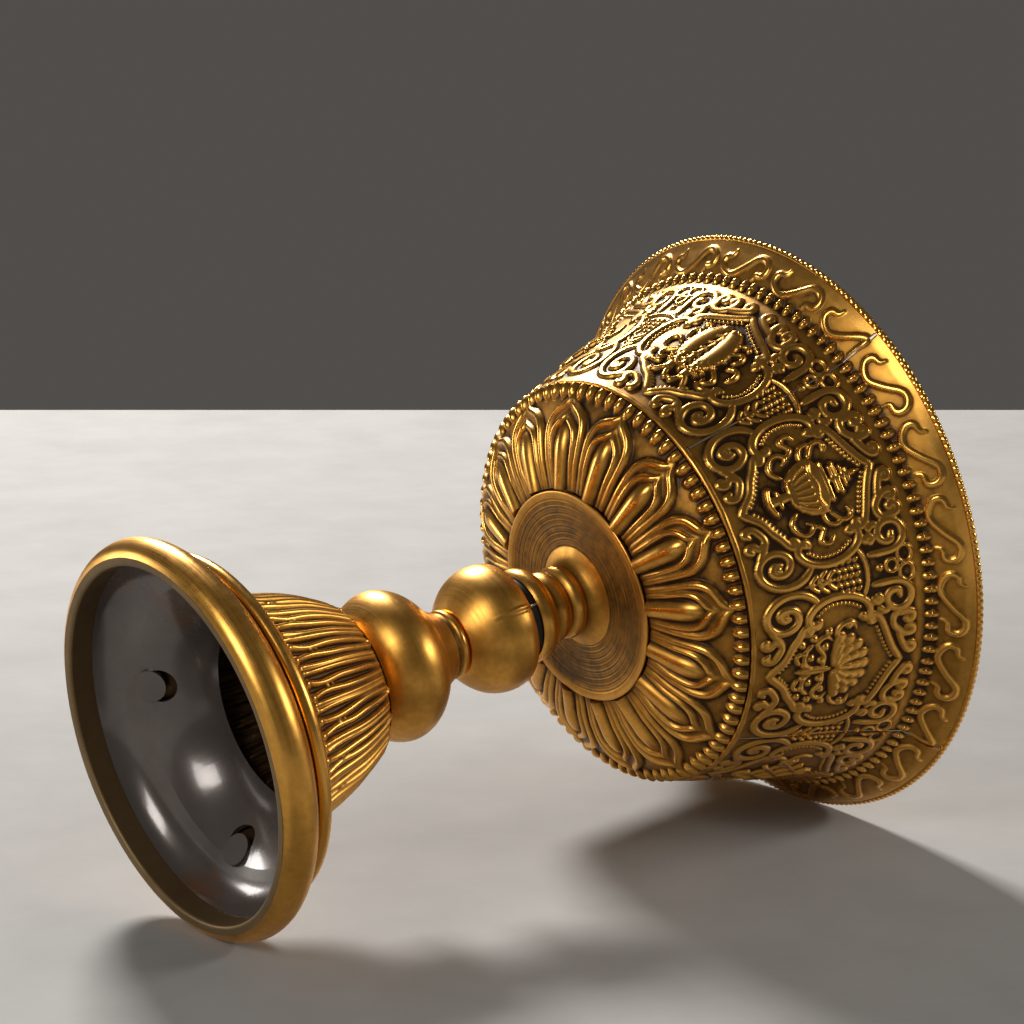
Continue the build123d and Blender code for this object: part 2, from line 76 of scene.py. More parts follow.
def blurred(h, rows, cols):
    """Height map smoothed by a Gaussian, wrapping round the columns."""
    pad = int(3 * rows) + 1
    tall = np.pad(h, ((pad, pad), (0, 0)), mode="edge")
    fr = np.fft.fftfreq(tall.shape[0])[:, None]
    fc = np.fft.rfftfreq(tall.shape[1])[None, :]
    gain = np.exp(-2 * math.pi**2 * ((fr * rows) ** 2 + (fc * cols) ** 2))
    return np.fft.irfft2(np.fft.rfft2(tall) * gain, s=tall.shape)[pad:-pad]


class Relief:
    """Height map round the axis: columns are degrees, rows are mm along the sheet."""

    def __init__(self, start, end, step, length, row_step, radius):
        self.cols = int(round((end - start) / step))
        self.u0, self.du = start, step
        self.rows = int(length / row_step) + 1
        self.v = np.linspace(0, length, self.rows)
        self.dv = self.v[1]
        self.per_degree = np.interp(self.v, *radius) * math.pi / 180
        self.h = np.zeros((self.rows, self.cols))

    def dab(self, u, v, w, height, power=0.6, long=1.0):
        """One rounded bump of radius w, stretched along the sheet by long."""
        r0 = max(0, int((v - w * long) / self.dv))
        r1 = min(self.rows, int((v + w * long) / self.dv) + 2)
        if r1 <= r0:
            return
        k = self.per_degree[r0:r1, None]
        half = w / k[0, 0] / self.du + 1
        c = (u - self.u0) / self.du
        cols = np.arange(int(c - half), int(c + half) + 2)
        d = ((cols * self.du + self.u0 - u) * k / w) ** 2
        d = d + (((self.v[r0:r1, None] - v) / (w * long)) ** 2)
        bump = height * np.clip(1 - d, 0, 1) ** power
        cols = cols % self.cols
        area = (slice(r0, r1), cols)
        self.h[area] = np.maximum(self.h[area], bump)

    def stroke(self, points, w, height, ends=(0.7, 0.7), power=0.6, mirror=None):
        """A rounded line through the points, narrower at its ends."""
        k = float(np.interp(np.mean([p[1] for p in points]), self.v, self.per_degree))
        line = spline([(p[0] * k, p[1]) for p in points], 0.13)
        n = len(line)
        t = np.linspace(0, 1, n)
        grow = np.minimum(1, np.minimum(ends[0] + 4 * t, ends[1] + 4 * (1 - t)))
        for (x, y), g in zip(line, grow):
            self.dab(x / k, y, w * g, height * g, power)
            if mirror is not None:
                self.dab(2 * mirror - x / k, y, w * g, height * g, power)

    def beads(self, points, pitch, w, height, mirror=None):
        """A row of small round beads along the points."""
        k = float(np.interp(np.mean([p[1] for p in points]), self.v, self.per_degree))
        for x, y in spline([(p[0] * k, p[1]) for p in points], pitch):
            self.dab(x / k, y, w, height)
            if mirror is not None:
                self.dab(2 * mirror - x / k, y, w, height)


def wavy(rows, cols, mm_row, mm_col, seed, size):
    """Low, irregular unevenness, as in hand-worked sheet."""
    noise = np.random.default_rng(seed).normal(size=(rows, cols))
    smooth = blurred(noise, size / mm_row, size / mm_col)
    return smooth / max(1e-9, np.abs(smooth).max())


def build_mesh(name, verts, faces, polish_and_shade=None, sharp=False):
    """Blender object from arrays of points and quads, shaded smooth."""
    mesh = bpy.data.meshes.new(name)
    mesh.vertices.add(len(verts))
    mesh.vertices.foreach_set("co", (verts * MM).astype(np.float32).ravel())
    mesh.loops.add(faces.size)
    mesh.loops.foreach_set("vertex_index", faces.astype(np.int32).ravel())
    mesh.polygons.add(len(faces))
    starts = np.arange(0, faces.size, faces.shape[1], dtype=np.int32)
    mesh.polygons.foreach_set("loop_start", starts)
    mesh.update(calc_edges=True)
    mesh.polygons.foreach_set("use_smooth", np.full(len(faces), not sharp))
    if polish_and_shade is not None:
        layer = mesh.attributes.new("polish_and_shade", "FLOAT", "POINT")
        layer.data.foreach_set("value", polish_and_shade.astype(np.float32).ravel())
    obj = bpy.data.objects.new(name, mesh)
    bpy.context.scene.collection.objects.link(obj)
    return obj


def grid_faces(rows, cols, closed):
    """Quads of a rows by cols grid of points, joined round when closed."""
    i = np.arange(rows - 1)[:, None]
    j = np.arange(cols if closed else cols - 1)[None, :]
    k = (j + 1) % cols
    quads = np.stack([i * cols + j, i * cols + k, (i + 1) * cols + k, (i + 1) * cols + j], -1)
    return quads.reshape(-1, 4)


def line_frame(line):
    """Arc length, radius, height and outward normal along a (z, r) line."""
    z, r = line[:, 0], line[:, 1]
    dz, dr = np.gradient(z), np.gradient(r)
    n = np.hypot(dz, dr)
    s = np.concatenate(([0], np.cumsum(np.hypot(np.diff(z), np.diff(r)))))
    return s, r, z, dz / n, -dr / n


def relief_sheet(name, line, angles, height, polish_and_shade, closed, thick):
    """Sheet turned from a line, raised by height, with its edges turned in."""
    s, r, z, nr, nz = line_frame(line)
    rows, cols = height.shape
    want = np.linspace(0, s[-1], rows)
    r, z, nr, nz = (np.interp(want, s, q) for q in (r, z, nr, nz))
    a = np.radians(angles)[None, :]

    def points(lift):
        rr = r[:, None] + nr[:, None] * lift
        zz = z[:, None] + nz[:, None] * lift + 0 * a
        return np.stack([rr * np.cos(a), rr * np.sin(a), zz], -1)

    outer = points(height)
    back = points(np.full_like(height, -thick))
    edges = [(outer[row], back[row], polish_and_shade[row], row == 0) for row in (0, rows - 1)]
    if not closed:
        edges += [(outer[:, col], back[:, col], polish_and_shade[:, col], col > 0) for col in (0, cols - 1)]
    parts = [outer.reshape(-1, 3)]
    quads = [grid_faces(rows, cols, closed)]
    polish_and_shade_parts = [polish_and_shade.ravel()]
    count = rows * cols
    for front, rear, edge_polish_and_shade, turned_over in edges:
        strip = grid_faces(2, len(front), closed) + count
        parts.append(np.concatenate([front, rear]))
        quads.append(strip[:, ::-1] if turned_over else strip)
        polish_and_shade_parts.append(np.concatenate([edge_polish_and_shade, edge_polish_and_shade * EDGE_BACK_POLISH_AND_SHADE]))
        count += 2 * len(front)
    return build_mesh(name, np.concatenate(parts), np.concatenate(quads), np.concatenate(polish_and_shade_parts))


def turned(name, runs, cols=288, dents=0.03, seed=1, step=0.12, ripple=None, polish_and_shade_base=0.62):
    """Turned piece from runs of (z, r) points; a new run starts at each sharp edge."""
    lines = [spline(run, step) for run in runs]
    whole = np.concatenate(lines)
    a = np.radians(np.arange(cols) * 360 / cols)[None, :]
    far = np.linalg.norm(whole[:, None] - whole[None], axis=2)
    near = np.exp(-((far / PROUD_REACH) ** 2))
    mean = near @ whole / near.sum(1, keepdims=True)
    away = whole - mean
    parts, quads, polish_and_shade_parts, count = [], [], [], 0
    soft = wavy(len(whole), cols, step, TURNED_COL, seed, 3.0)
    fine = wavy(len(whole), cols, step, TURNED_COL, seed + 1, 0.8)
    at = 0
    for line in lines:
        s, r, z, nr, nz = line_frame(line)
        lift = dents * soft[at : at + len(line)]
        if ripple is not None:
            lift = lift + ripple(s, z, r, np.degrees(a))
        rr = r[:, None] + nr[:, None] * lift
        zz = z[:, None] + nz[:, None] * lift
        parts.append(np.stack([rr * np.cos(a), rr * np.sin(a), zz], -1).reshape(-1, 3))
        quads.append(grid_faces(len(line), cols, True) + count)
        # proud spots are painted brighter and hollows darker: polish and patina, and partly painted shade
        bulge = away[at : at + len(line)]
        convex = bulge[:, 0] * nz + bulge[:, 1] * nr
        polish_and_shade = polish_and_shade_base + PROUD_POLISH_AND_SHADE * convex[:, None] + 0.16 * fine[at : at + len(line)]
        polish_and_shade_parts.append(np.clip(polish_and_shade, 0, 1).ravel())
        count += len(line) * cols
        at += len(line)
    return build_mesh(name, np.concatenate(parts), np.concatenate(quads), np.concatenate(polish_and_shade_parts))


# ---- finishes -----------------------------------------------------------


class Nodes:
    """Short way to wire a material's nodes."""

    def __init__(self, name):
        self.material = bpy.data.materials.new(name)
        self.material.use_nodes = True
        self.tree = self.material.node_tree
        self.tree.nodes.clear()

    def add(self, kind, values=None, **settings):
        node = self.tree.nodes.new(kind)
        for key, value in settings.items():
            setattr(node, key, value)
        for key, value in (values or {}).items():
            if isinstance(value, bpy.types.NodeSocket):
                self.tree.links.new(value, node.inputs[key])
            else:
                node.inputs[key].default_value = value
        return node

    def math(self, what, a, b=0.0):
        return self.add("ShaderNodeMath", {0: a, 1: b}, operation=what).outputs[0]

    def spread(self, value, low, high, to_low=0.0, to_high=1.0):
        node = self.add(
            "ShaderNodeMapRange",
            {"Value": value, "From Min": low, "From Max": high, "To Min": to_low, "To Max": to_high},
        )
        return node.outputs[0]

    def mix(self, factor, a, b):
        node = self.add("ShaderNodeMix", {"Factor": factor}, data_type="RGBA")
        for key, value in (("A", a), ("B", b)):
            socket = [i for i in node.inputs if i.name == key and i.type == "RGBA"][0]
            if isinstance(value, bpy.types.NodeSocket):
                self.tree.links.new(value, socket)
            else:
                socket.default_value = value
        return [o for o in node.outputs if o.type == "RGBA"][0]

    def noise(self, vector, scale, detail=4.0, rough=0.55):
        node = self.add(
            "ShaderNodeTexNoise",
            {"Vector": vector, "Scale": scale, "Detail": detail, "Roughness": rough},
        )
        return node.outputs[0]

    def place(self):
        return self.add("ShaderNodeTexCoord").outputs["Object"]

    def ring_place(self, across, along):
        """Coordinates that make noise run in rings round the axis."""
        xyz = self.add("ShaderNodeSeparateXYZ", {0: self.place()}).outputs
        x2 = self.math("MULTIPLY", xyz[0], xyz[0])
        y2 = self.math("MULTIPLY", xyz[1], xyz[1])
        radius = self.math("SQRT", self.math("ADD", x2, y2))
        angle = self.math("ARCTAN2", xyz[1], xyz[0])
        cosine = self.math("MULTIPLY", self.math("COSINE", angle), along)
        sine = self.math("MULTIPLY", self.math("SINE", angle), along)
        return self.add(
            "ShaderNodeCombineXYZ",
            {
                0: self.math("MULTIPLY", radius, across),
                1: self.math("MULTIPLY", xyz[2], across),
                2: self.math("ADD", cosine, sine),
            },
        ).outputs[0]

    def finish(self, values, bump, strength, distance):
        shader = self.add("ShaderNodeBsdfPrincipled", values)
        normal = self.add("ShaderNodeBump", {"Height": bump, "Strength": strength, "Distance": distance})
        self.tree.links.new(normal.outputs[0], shader.inputs["Normal"])
        self.add("ShaderNodeOutputMaterial", {0: shader.outputs[0]})
        return self.material


# brass colours from polished high spots down to the deepest hollows; the brown of the hollows is partly
# patina and partly painted shade
GOLD = (0.86, 0.44, 0.087, 1)
OLD_GOLD = (0.45, 0.215, 0.036, 1)
PATINA_AND_SHADE = (0.10, 0.05, 0.014, 1)
DARK = (0.05, 0.024, 0.008, 1)


def brass(name, polish, lowest, brushed):
    """Antique brass: bright on high spots, brown in the hollows, which is partly patina and partly painted
    shade.
    """
    n = Nodes(name)
    place = n.place()
    polish_and_shade = n.add("ShaderNodeAttribute", attribute_name="polish_and_shade").outputs["Fac"]
    blotch = n.noise(place, 55, 5, 0.6)
    speck = n.noise(place, 900, 3, 0.6)
    level = n.math("ADD", polish_and_shade, n.spread(blotch, 0.3, 0.7, -0.13, 0.13))
    level = n.math("ADD", level, n.spread(speck, 0.3, 0.7, -0.07, 0.07))
    deep = n.spread(level, 0.12, 0.40)
    high = n.spread(level, 0.42, 0.82)
    brown = n.mix(deep, lowest, OLD_GOLD)
    colour = n.mix(high, brown, GOLD)
    rough = n.spread(high, 0, 1, polish + 0.2, polish)
    rough = n.math("ADD", rough, n.spread(speck, 0.3, 0.7, -0.03, 0.05))
    metal = n.spread(deep, 0, 1, 0.75, 1.0)
    if brushed:
        rings = n.noise(n.ring_place(5200, 0.4), 1.0, 3, 0.7)
        rough = n.math("ADD", rough, n.spread(rings, 0.3, 0.7, -0.06, 0.08))
        height = n.math("ADD", rings, n.math("MULTIPLY", speck, 0.15))
    else:
        height = n.math("ADD", speck, n.math("MULTIPLY", blotch, 0.5))
    return n.finish(
        {"Base Color": colour, "Metallic": metal, "Roughness": rough},
        height,
        0.22 if brushed else 0.12,
        0.00003,
    )


def plain_metal(name, colour, dull, rough, metal=1.0, coat=0.0, stain=None):
    """Metal or lacquer with fine grain and stains."""
    n = Nodes(name)
    place = n.place()
    blotch = n.noise(place, 70, 6, 0.65)
    speck = n.noise(place, 1100, 3, 0.6)
    shade = n.mix(n.spread(blotch, 0.35, 0.68), colour, dull)
    if stain is not None:
        shade = n.mix(n.spread(n.noise(place, 38, 8, 0.7), 0.56, 0.66), shade, stain)
    uneven = n.spread(blotch, 0.3, 0.7, rough - 0.05, rough + 0.07)
    values = {
        "Base Color": shade,
        "Metallic": metal,
        "Roughness": n.math("ADD", uneven, n.math("MULTIPLY", speck, 0.05)),
        "Coat Weight": coat,
        "Coat Roughness": 0.12,
    }
    return n.finish(values, n.math("ADD", speck, blotch), 0.15, 0.00004)


embossed = brass("embossed_brass", 0.23, DARK, False)
satin = brass("satin_brass", 0.29, PATINA_AND_SHADE, True)
bright = brass("bright_brass", 0.2, PATINA_AND_SHADE, True)
plain = plain_metal("plain_brass", (0.72, 0.47, 0.17, 1), (0.55, 0.33, 0.1, 1), 0.3)
zinc = plain_metal("zinc_steel", (0.45, 0.44, 0.42, 1), (0.3, 0.28, 0.25, 1), 0.38)
# near-black rubber for the joint washer; its black also paints the shade of the deep groove between the
# bell knop and the spool
rubber = plain_metal("black_rubber", (0.012, 0.011, 0.011, 1), (0.025, 0.022, 0.02, 1), 0.5, metal=0.0)
solder = plain_metal("solder", (0.62, 0.56, 0.45, 1), (0.30, 0.21, 0.11, 1), 0.33)
# dark, dull brass for the foot's inner wall and standing face; inside the foot its dark is painted shade
dull = plain_metal("dull_and_shaded_brass", (0.25, 0.165, 0.075, 1), (0.17, 0.11, 0.05, 1), 0.5, metal=0.85)
steel = plain_metal(
    "liner_steel",
    (0.125, 0.104, 0.094, 1),
    (0.080, 0.064, 0.057, 1),
    0.22,
    metal=0.35,
    coat=0.7,
    stain=(0.16, 0.065, 0.02, 1),
)


def finish_as(obj, material, slot, body, *nodes):
    """Give a piece its finish, the body it rides on and the nodes it stands for."""
    obj.data.materials.clear()
    obj.data.materials.append(material)
    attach(obj, body)
    if nodes:
        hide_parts(*nodes)
    return obj


def polish_and_shade_map(h, rows, cols, gain, base=0.5):
    """Bright where the sheet stands proud, dark in its valleys, which is partly patina and partly painted
    shade.
    """
    close = h - blurred(h, rows, cols)
    wide = h - blurred(h, rows * 3, cols * 3)
    return np.clip(base + gain * (0.75 * close + 0.45 * wide), 0, 1)


# ---- embossed wall and lip ----------------------------------------------
WALL = [(77.0, 30.0), (83.6, 32.15), (90.4, 34.2), (96.6, 36.35), (102.3, 38.7)]
LIP = [(102.3, 38.7), (104.4, 41.7), (106.2, 43.7)]
wall_line = np.concatenate([spline(WALL, 0.1)[:-1], spline(LIP, 0.1)])
wall_s, wall_r = line_frame(wall_line)[:2]
WALL_LENGTH = float(wall_s[-1])
COL_STEP = 0.2
ROW_STEP = 0.155
CELL = 45.0
V_LOW = 2.2        # row of the scrollwork's own count at which the wall's rows start


def up(points):
    """Scrollwork rows counted from the lower beads, moved to the wall's rows."""
    return [(x, v - V_LOW) for x, v in points]


cell = Relief(-CELL / 2, CELL / 2, COL_STEP, WALL_LENGTH, ROW_STEP, (wall_s, wall_r))
BAR = 0.6          # half width of the scrollwork's bars
BAR_H = 0.52       # and their height
FLAT = 0.35        # low powers give flat-topped bars
scrolls = [
    # top and bottom ogee pieces and the side brackets of the cartouche
    [
        (0, 24.7), (1.6, 23.9), (3.8, 23.1), (6.4, 22.4), (9, 21.8), (11, 21.2), (12.1, 20.4), (11.5, 19.6),
        (10.5, 19.9), (10.6, 20.5),
    ],
    [
        (0, 4.3), (2.2, 5.6), (4.4, 6.8), (7, 7.6), (9.3, 8.6), (11, 9.2), (12, 9.9), (11.4, 10.6),
        (10.4, 10.2), (10.5, 9.5),
    ],
    [
        (12.2, 18.3), (11.6, 18.9), (12.4, 19.6), (14.2, 19.7), (16.4, 18.7), (17.9, 16.8), (18.4, 14.7),
        (17.7, 12.5), (15.9, 10.9), (13.7, 10.3), (12.1, 10.9), (12.0, 11.9), (13.0, 12.1),
    ],
    # lower corner: a broad C that turns into a spiral, then a wave with curls
    [
        (17.9, 11.9), (20, 10.7), (21.3, 8.8), (21.1, 6.6), (19.4, 4.9), (16.5, 4.0), (13.6, 4.5),
        (12.1, 5.9), (12.5, 7.7), (14.5, 8.8), (16.9, 8.5), (17.9, 7.2), (16.9, 6.0), (15.3, 6.4),
        (15.4, 7.4),
    ],
    [(13.6, 4.5), (11, 5.3), (8.2, 6.1), (5.8, 5.5), (4.4, 4.4), (5.2, 3.6), (6.2, 4.1)],
    [(8.9, 6.0), (9.7, 5.0), (8.6, 4.1), (9.4, 3.4), (10.3, 4.0)],
    # upper corner: an upright tail, a hook, a spiral and two waves with curls
    [
        (19.0, 20.6), (19.1, 22.6), (18.8, 24.5), (17.3, 25.8), (14.6, 26.0), (12.7, 24.8), (13.0, 23.1),
        (15.0, 22.4), (16.9, 23.2), (16.6, 24.3), (15.3, 24.4),
    ],
    [
        (12.7, 24.6), (11.2, 23.5), (9.2, 23.2), (7.3, 24.0), (6.3, 25.3), (7.0, 26.3), (8.0, 25.9),
        (7.6, 25.1),
    ],
    [(7.3, 24.0), (5.2, 24.4), (3.2, 25.0), (2.0, 25.9), (2.9, 26.5), (3.8, 26.0), (3.3, 25.4)],
    [(11.2, 24.0), (11.6, 25.2), (10.8, 26.2), (9.6, 26.0), (9.7, 25.1), (10.4, 25.3)],
    [(16.4, 21.0), (15.2, 21.4), (15.0, 20.6), (15.9, 20.4)],
    [(13.4, 21.2), (12.6, 21.7), (12.7, 22.4)],
]
for points in scrolls:
    cell.stroke(up(points), BAR, BAR_H, power=FLAT, mirror=0)
for x, y, size in (
    (16.0, 24.3, 0.6), (16.3, 6.9, 0.62), (11.4, 20.1, 0.6), (11.3, 10.0, 0.6), (12.4, 18.7, 0.6),
    (12.5, 11.5, 0.6),
):
    for sign in (1, -1):
        cell.dab(sign * x, y - V_LOW, size, BAR_H * 1.05)
for points in (
    [(0.9, 23.1), (3.2, 22.2), (6, 21.4), (8.8, 20.7)],
    [(0.9, 5.9), (3.4, 7.2), (6, 8.0), (8.6, 9.0)],
    [(14.6, 18.2), (16.0, 16.7), (16.5, 14.8), (16.0, 13), (14.6, 11.8)],
):
    cell.beads(up(points), 0.62, 0.3, 0.42, mirror=0)
# between two cartouches: rings, an arch, basket work and a bud with leaves
EDGE = CELL / 2
for v, w, shift, mirror in ((25.7, 1.25, 2.0, 0), (23.6, 1.0, 0.0, None)):
    around = np.linspace(0, 2 * math.pi, 9)
    ring = [(EDGE + w * 1.5 * math.cos(t) - shift, v + w * 0.85 * math.sin(t)) for t in around]
    cell.stroke(up(ring), 0.3, 0.45, ends=(1, 1), mirror=mirror)
cell.dab(EDGE, 21.8 - V_LOW, 0.55, 0.5)
arch = [(EDGE - 5.6, 19.0), (EDGE - 3, 19.7), (EDGE, 19.95), (EDGE + 3, 19.7), (EDGE + 5.6, 19.0)]
cell.stroke(up(arch), 0.34, 0.5)
for row in range(4):
    for k in range(-2, 3):
        lean = 0.55 if k % 2 else -0.55
        x = EDGE + k * 1.75
        y = 18.4 - row * 0.95
        cell.stroke(up([(x - 0.35, y - lean * 0.5), (x + 0.35, y + lean * 0.5)]), 0.3, 0.38)
cell.stroke(up([(EDGE, 14.9), (EDGE, 10.4)]), 0.22, 0.35)
for sign in (1, -1):
    for y, reach, rise in ((14.2, 2.4, 0.9), (12.9, 2.7, 1.0), (11.6, 2.0, 0.8)):
        middle = (EDGE + sign * reach * 0.6, y + rise * 0.1)
        leaf = [(EDGE, y - 0.5), middle, (EDGE + sign * reach, y + rise)]
        cell.stroke(up(leaf), 0.36, 0.45, ends=(0.5, 0.4))
cell.dab(EDGE, 13.2 - V_LOW, 0.5, 0.55, long=1.6)
template = cell.h.copy()


def vase(m):
    """Lidded vase with ribbons."""
    for y in np.arange(12.0, 17.3, 0.18):
        if y < 16.4:
            half = 6.3 * math.sqrt(max(0.0, 1 - ((y - 15.9) / 4.2) ** 2))
        else:
            half = 6.3 - (y - 16.4) * 3.4
        for x in np.arange(-half, half + 0.01, 0.4):
            m.dab(x, y - V_LOW, 0.5, 1.15 - 0.5 * (x / 6.6) ** 2)
    for k in range(-3, 4):
        m.stroke(up([(k * 1.75, 15.2), (k * 1.5, 13.8), (k * 0.95, 12.4)]), 0.42, 1.34, ends=(0.8, 0.6))
    m.stroke(up([(-5.9, 16.3), (-3, 15.7), (0, 16.1), (3, 15.7), (5.9, 16.3)]), 0.32, 1.32)
    for y, half, w, lift in (
        (17.7, 4.6, 0.42, 1.2), (18.7, 3.0, 0.4, 1.0), (19.4, 3.6, 0.36, 1.1), (20.2, 2.3, 0.38, 1.05),
        (20.9, 1.4, 0.36, 1.0),
    ):
        m.stroke(up([(-half, y), (half, y)]), w, lift, ends=(0.9, 0.9))
    m.stroke(up([(0, 17), (0, 22.6)]), 0.55, 0.95, ends=(1, 0.4))
    m.stroke(up([(0, 12.8), (0, 9.4)]), 0.85, 1.0, ends=(1, 1))
    m.stroke(up([(-3.6, 9.2), (0, 8.6), (3.6, 9.2)]), 0.5, 1.0)
    m.stroke(up([(-2.2, 10.2), (2.2, 10.2)]), 0.42, 0.95)
    for s in (
        [(6.6, 16.6), (8.3, 17.4), (9.5, 18.6), (8.6, 19.6), (6.9, 19.3)],
        [(6.5, 15.6), (8.6, 15.8), (9.8, 16.8), (9.4, 18.0)],
        [(4.6, 11.9), (7.0, 10.7), (9.6, 11.4), (10.1, 13.0), (8.6, 13.7), (7.6, 12.9)],
        [(8.6, 13.7), (10.4, 14.9), (12.8, 14.2), (13.6, 15.4), (12.4, 16.1)],
    ):
        m.stroke(up(s), 0.4, 0.6, ends=(0.7, 0.5), mirror=0)


def fish(m):
    """Two upright fish side by side, with a fin ridge between them."""
    m.stroke(up([(0, 20.4), (0.4, 17), (-0.3, 14), (0, 10.6)]), 0.75, 1.05, ends=(0.7, 0.7))
    for y in (19.2, 17.6, 16.0, 14.4, 12.8):
        m.stroke(up([(0, y), (1.3, y - 0.7)]), 0.3, 1.2, mirror=0)
    for sign in (1, -1):
        body = spline([(1.5, 20.4), (2.6, 19.0), (3.5, 16.8), (3.5, 14.2), (2.9, 12.0), (2.7, 10.0)], 0.3)
        n = len(body)
        for k, (x, y) in enumerate(body):
            t = k / (n - 1)
            w = 0.8 + 1.2 * math.sin(math.pi * min(1, t * 0.9 + 0.12)) * (1 - 0.4 * t)
            m.dab(sign * x, y - V_LOW, w, 0.55 + 0.42 * w, power=0.45)
        for k in range(5, n - 4, 3):
            x, y = body[k]
            for side in (-1.9, -0.6, 0.7, 2.0):
                m.dab(sign * (x + side + 0.5 * (k % 2)), y - V_LOW, 0.45, 1.36 - 0.14 * abs(side))
        for s in (
            [(3.0, 10.4), (4.4, 9.2), (6.2, 8.3), (6.8, 9.0)],
            [(2.9, 10.4), (2.0, 9.0), (1.0, 8.2), (0.6, 8.9)],
            [(5.9, 17.6), (7.6, 18.6), (8.6, 17.6), (7.4, 16.4)],
            [(5.6, 14.0), (7.6, 13.2), (9.2, 11.8), (7.8, 11.0), (6.9, 12.0)],
            [(8.4, 15.4), (10.2, 16.0), (11.8, 14.8), (11.0, 13.6)],
            [(6.8, 10.4), (8.6, 10.0), (10.2, 10.6)],
            [(5.2, 19.6), (6.6, 20.2), (7.6, 19.6)],
        ):
            m.stroke(up([(sign * x, y) for x, y in s]), 0.46, 0.62, ends=(0.8, 0.4))
        m.dab(sign * 1.3, 20.6 - V_LOW, 1.0, 1.25)
        m.dab(sign * 2.3, 20.9 - V_LOW, 0.35, 1.4)


def lotus(m):
    """Open lotus with leaves, buds and a long stem."""
    for layer, (count, reach, lift) in enumerate(((9, 5.2, 0.6), (7, 3.9, 0.85), (5, 2.5, 1.05))):
        for k in range(count):
            t = math.pi * (k + 0.5) / count
            x, y = math.cos(t) * reach * 1.75, math.sin(t) * reach
            m.stroke(
                up([(x * 0.25, 14.2 + y * 0.2), (x * 0.75, 14.4 + y * 0.65), (x, 14.5 + y)]),
                0.92 - 0.1 * layer,
                lift,
                ends=(0.7, 0.35),
            )
    for s in (
        [(0, 14), (0.5, 11.5), (0, 8.4)],
        [(0.4, 12.4), (4, 12.6), (7.2, 11.6), (8.8, 12.8), (7.4, 13.9)],
        [(0.4, 10.8), (3.4, 9.6), (6.4, 10.2), (7.2, 11.0)],
        [(8.6, 14.4), (10.8, 15.2), (11.2, 17.0), (9.4, 17.6)],
        [(2.4, 8.8), (4.6, 8.4), (5.4, 9.2)],
    ):
        m.stroke(up(s), 0.42, 0.55, ends=(0.7, 0.4), mirror=0)
    for x, y in (
        (9.9, 13.4), (6.0, 12.8), (3.6, 10.6), (8.8, 11.0), (10.6, 16.4), (2.6, 12.2), (5.0, 9.6),
        (7.6, 9.2), (2.0, 9.6),
    ):
        for sign in (1, -1):
            m.dab(sign * x, y - V_LOW, 0.62, 0.7)


def knot(m):
    """Interlaced knot of crossing bars with loops at its sides."""
    for k in (-1, 0, 1):
        for sign in (1, -1):
            low = (sign * (k * 3.4 - 5.4), 14.8 - k * 1.95 - 3.1)
            high = (sign * (k * 3.4 + 5.4), 14.8 - k * 1.95 + 3.1)
            m.stroke(up([low, high]), 0.5, 0.8 + 0.1 * k * sign, ends=(1, 1))
    for x, y in ((7.4, 14.8), (0, 20.2), (0, 9.4)):
        loop = [(x + 1.9 * math.cos(t), y + 1.0 * math.sin(t)) for t in np.linspace(0, 2 * math.pi, 9)]
        m.stroke(up(loop), 0.4, 0.7, ends=(1, 1), mirror=0 if x else None)
    for s in ([(9.4, 14.6), (11.4, 16.0), (10.4, 18.2)], [(9.2, 14.0), (11.0, 12.4), (9.6, 10.8)]):
        m.stroke(up(s), 0.38, 0.5, ends=(0.7, 0.4), mirror=0)


def wheel(m):
    """Spoked wheel on a small stand of leaves."""
    for radius, w, lift in ((4.6, 0.5, 0.75), (3.6, 0.3, 0.6), (1.2, 0.5, 0.85)):
        around = np.linspace(0, 2 * math.pi, 17)
        turn = [(radius * 1.7 * math.cos(t), 15.2 + radius * math.sin(t)) for t in around]
        m.stroke(up(turn), w, lift, ends=(1, 1))
    for k in range(8):
        t = k * math.pi / 4
        tip = (5.3 * 1.7 * math.cos(t), 15.2 + 5.3 * math.sin(t))
        m.stroke(up([(math.cos(t), 15.2 + math.sin(t)), tip]), 0.34, 0.7, ends=(0.8, 1))
        m.dab(tip[0], tip[1] - V_LOW, 0.5, 0.75)
    for s in ([(0, 9.6), (3.0, 8.8), (5.4, 9.4), (6.2, 10.4)], [(1.0, 9.0), (2.4, 8.0), (3.8, 8.2)]):
        m.stroke(up(s), 0.4, 0.55, ends=(0.7, 0.4), mirror=0)


def shade(m):
    """Fringed parasol on a pole."""
    for k in range(-4, 5):
        rib = [(0, 19.6), (k * 1.0, 18.2), (k * 1.75, 16.0)]
        m.stroke(up(rib), 0.52, 0.85 - 0.02 * abs(k), ends=(0.6, 0.9))
        m.stroke(up([(k * 1.75, 15.6), (k * 1.8, 14.2)]), 0.34, 0.6)
    m.stroke(up([(-7.4, 15.9), (0, 15.4), (7.4, 15.9)]), 0.36, 0.95)
    m.stroke(up([(0, 15.4), (0, 8.2)]), 0.34, 0.65)
    m.dab(0, 20.4 - V_LOW, 0.7, 0.85)
    for s in (
        [(0.5, 12), (3.4, 12.8), (6.2, 11.8), (8.4, 12.6), (9.8, 14.2)],
        [(0.5, 9.6), (3.2, 10.2), (5.4, 9.2), (7.6, 10.0)],
    ):
        m.stroke(up(s), 0.4, 0.55, ends=(0.7, 0.4), mirror=0)


MOTIFS = [vase, lotus, knot, wheel, shade, lotus, knot, fish]
COLS = int(round(360 / COL_STEP))
CELL_COLS = int(round(CELL / COL_STEP))
wall_h = np.zeros((cell.rows, COLS))
for k, motif in enumerate(MOTIFS):
    cell.h = template.copy()
    motif(cell)
    wall_h[:, k * CELL_COLS : (k + 1) * CELL_COLS] = cell.h

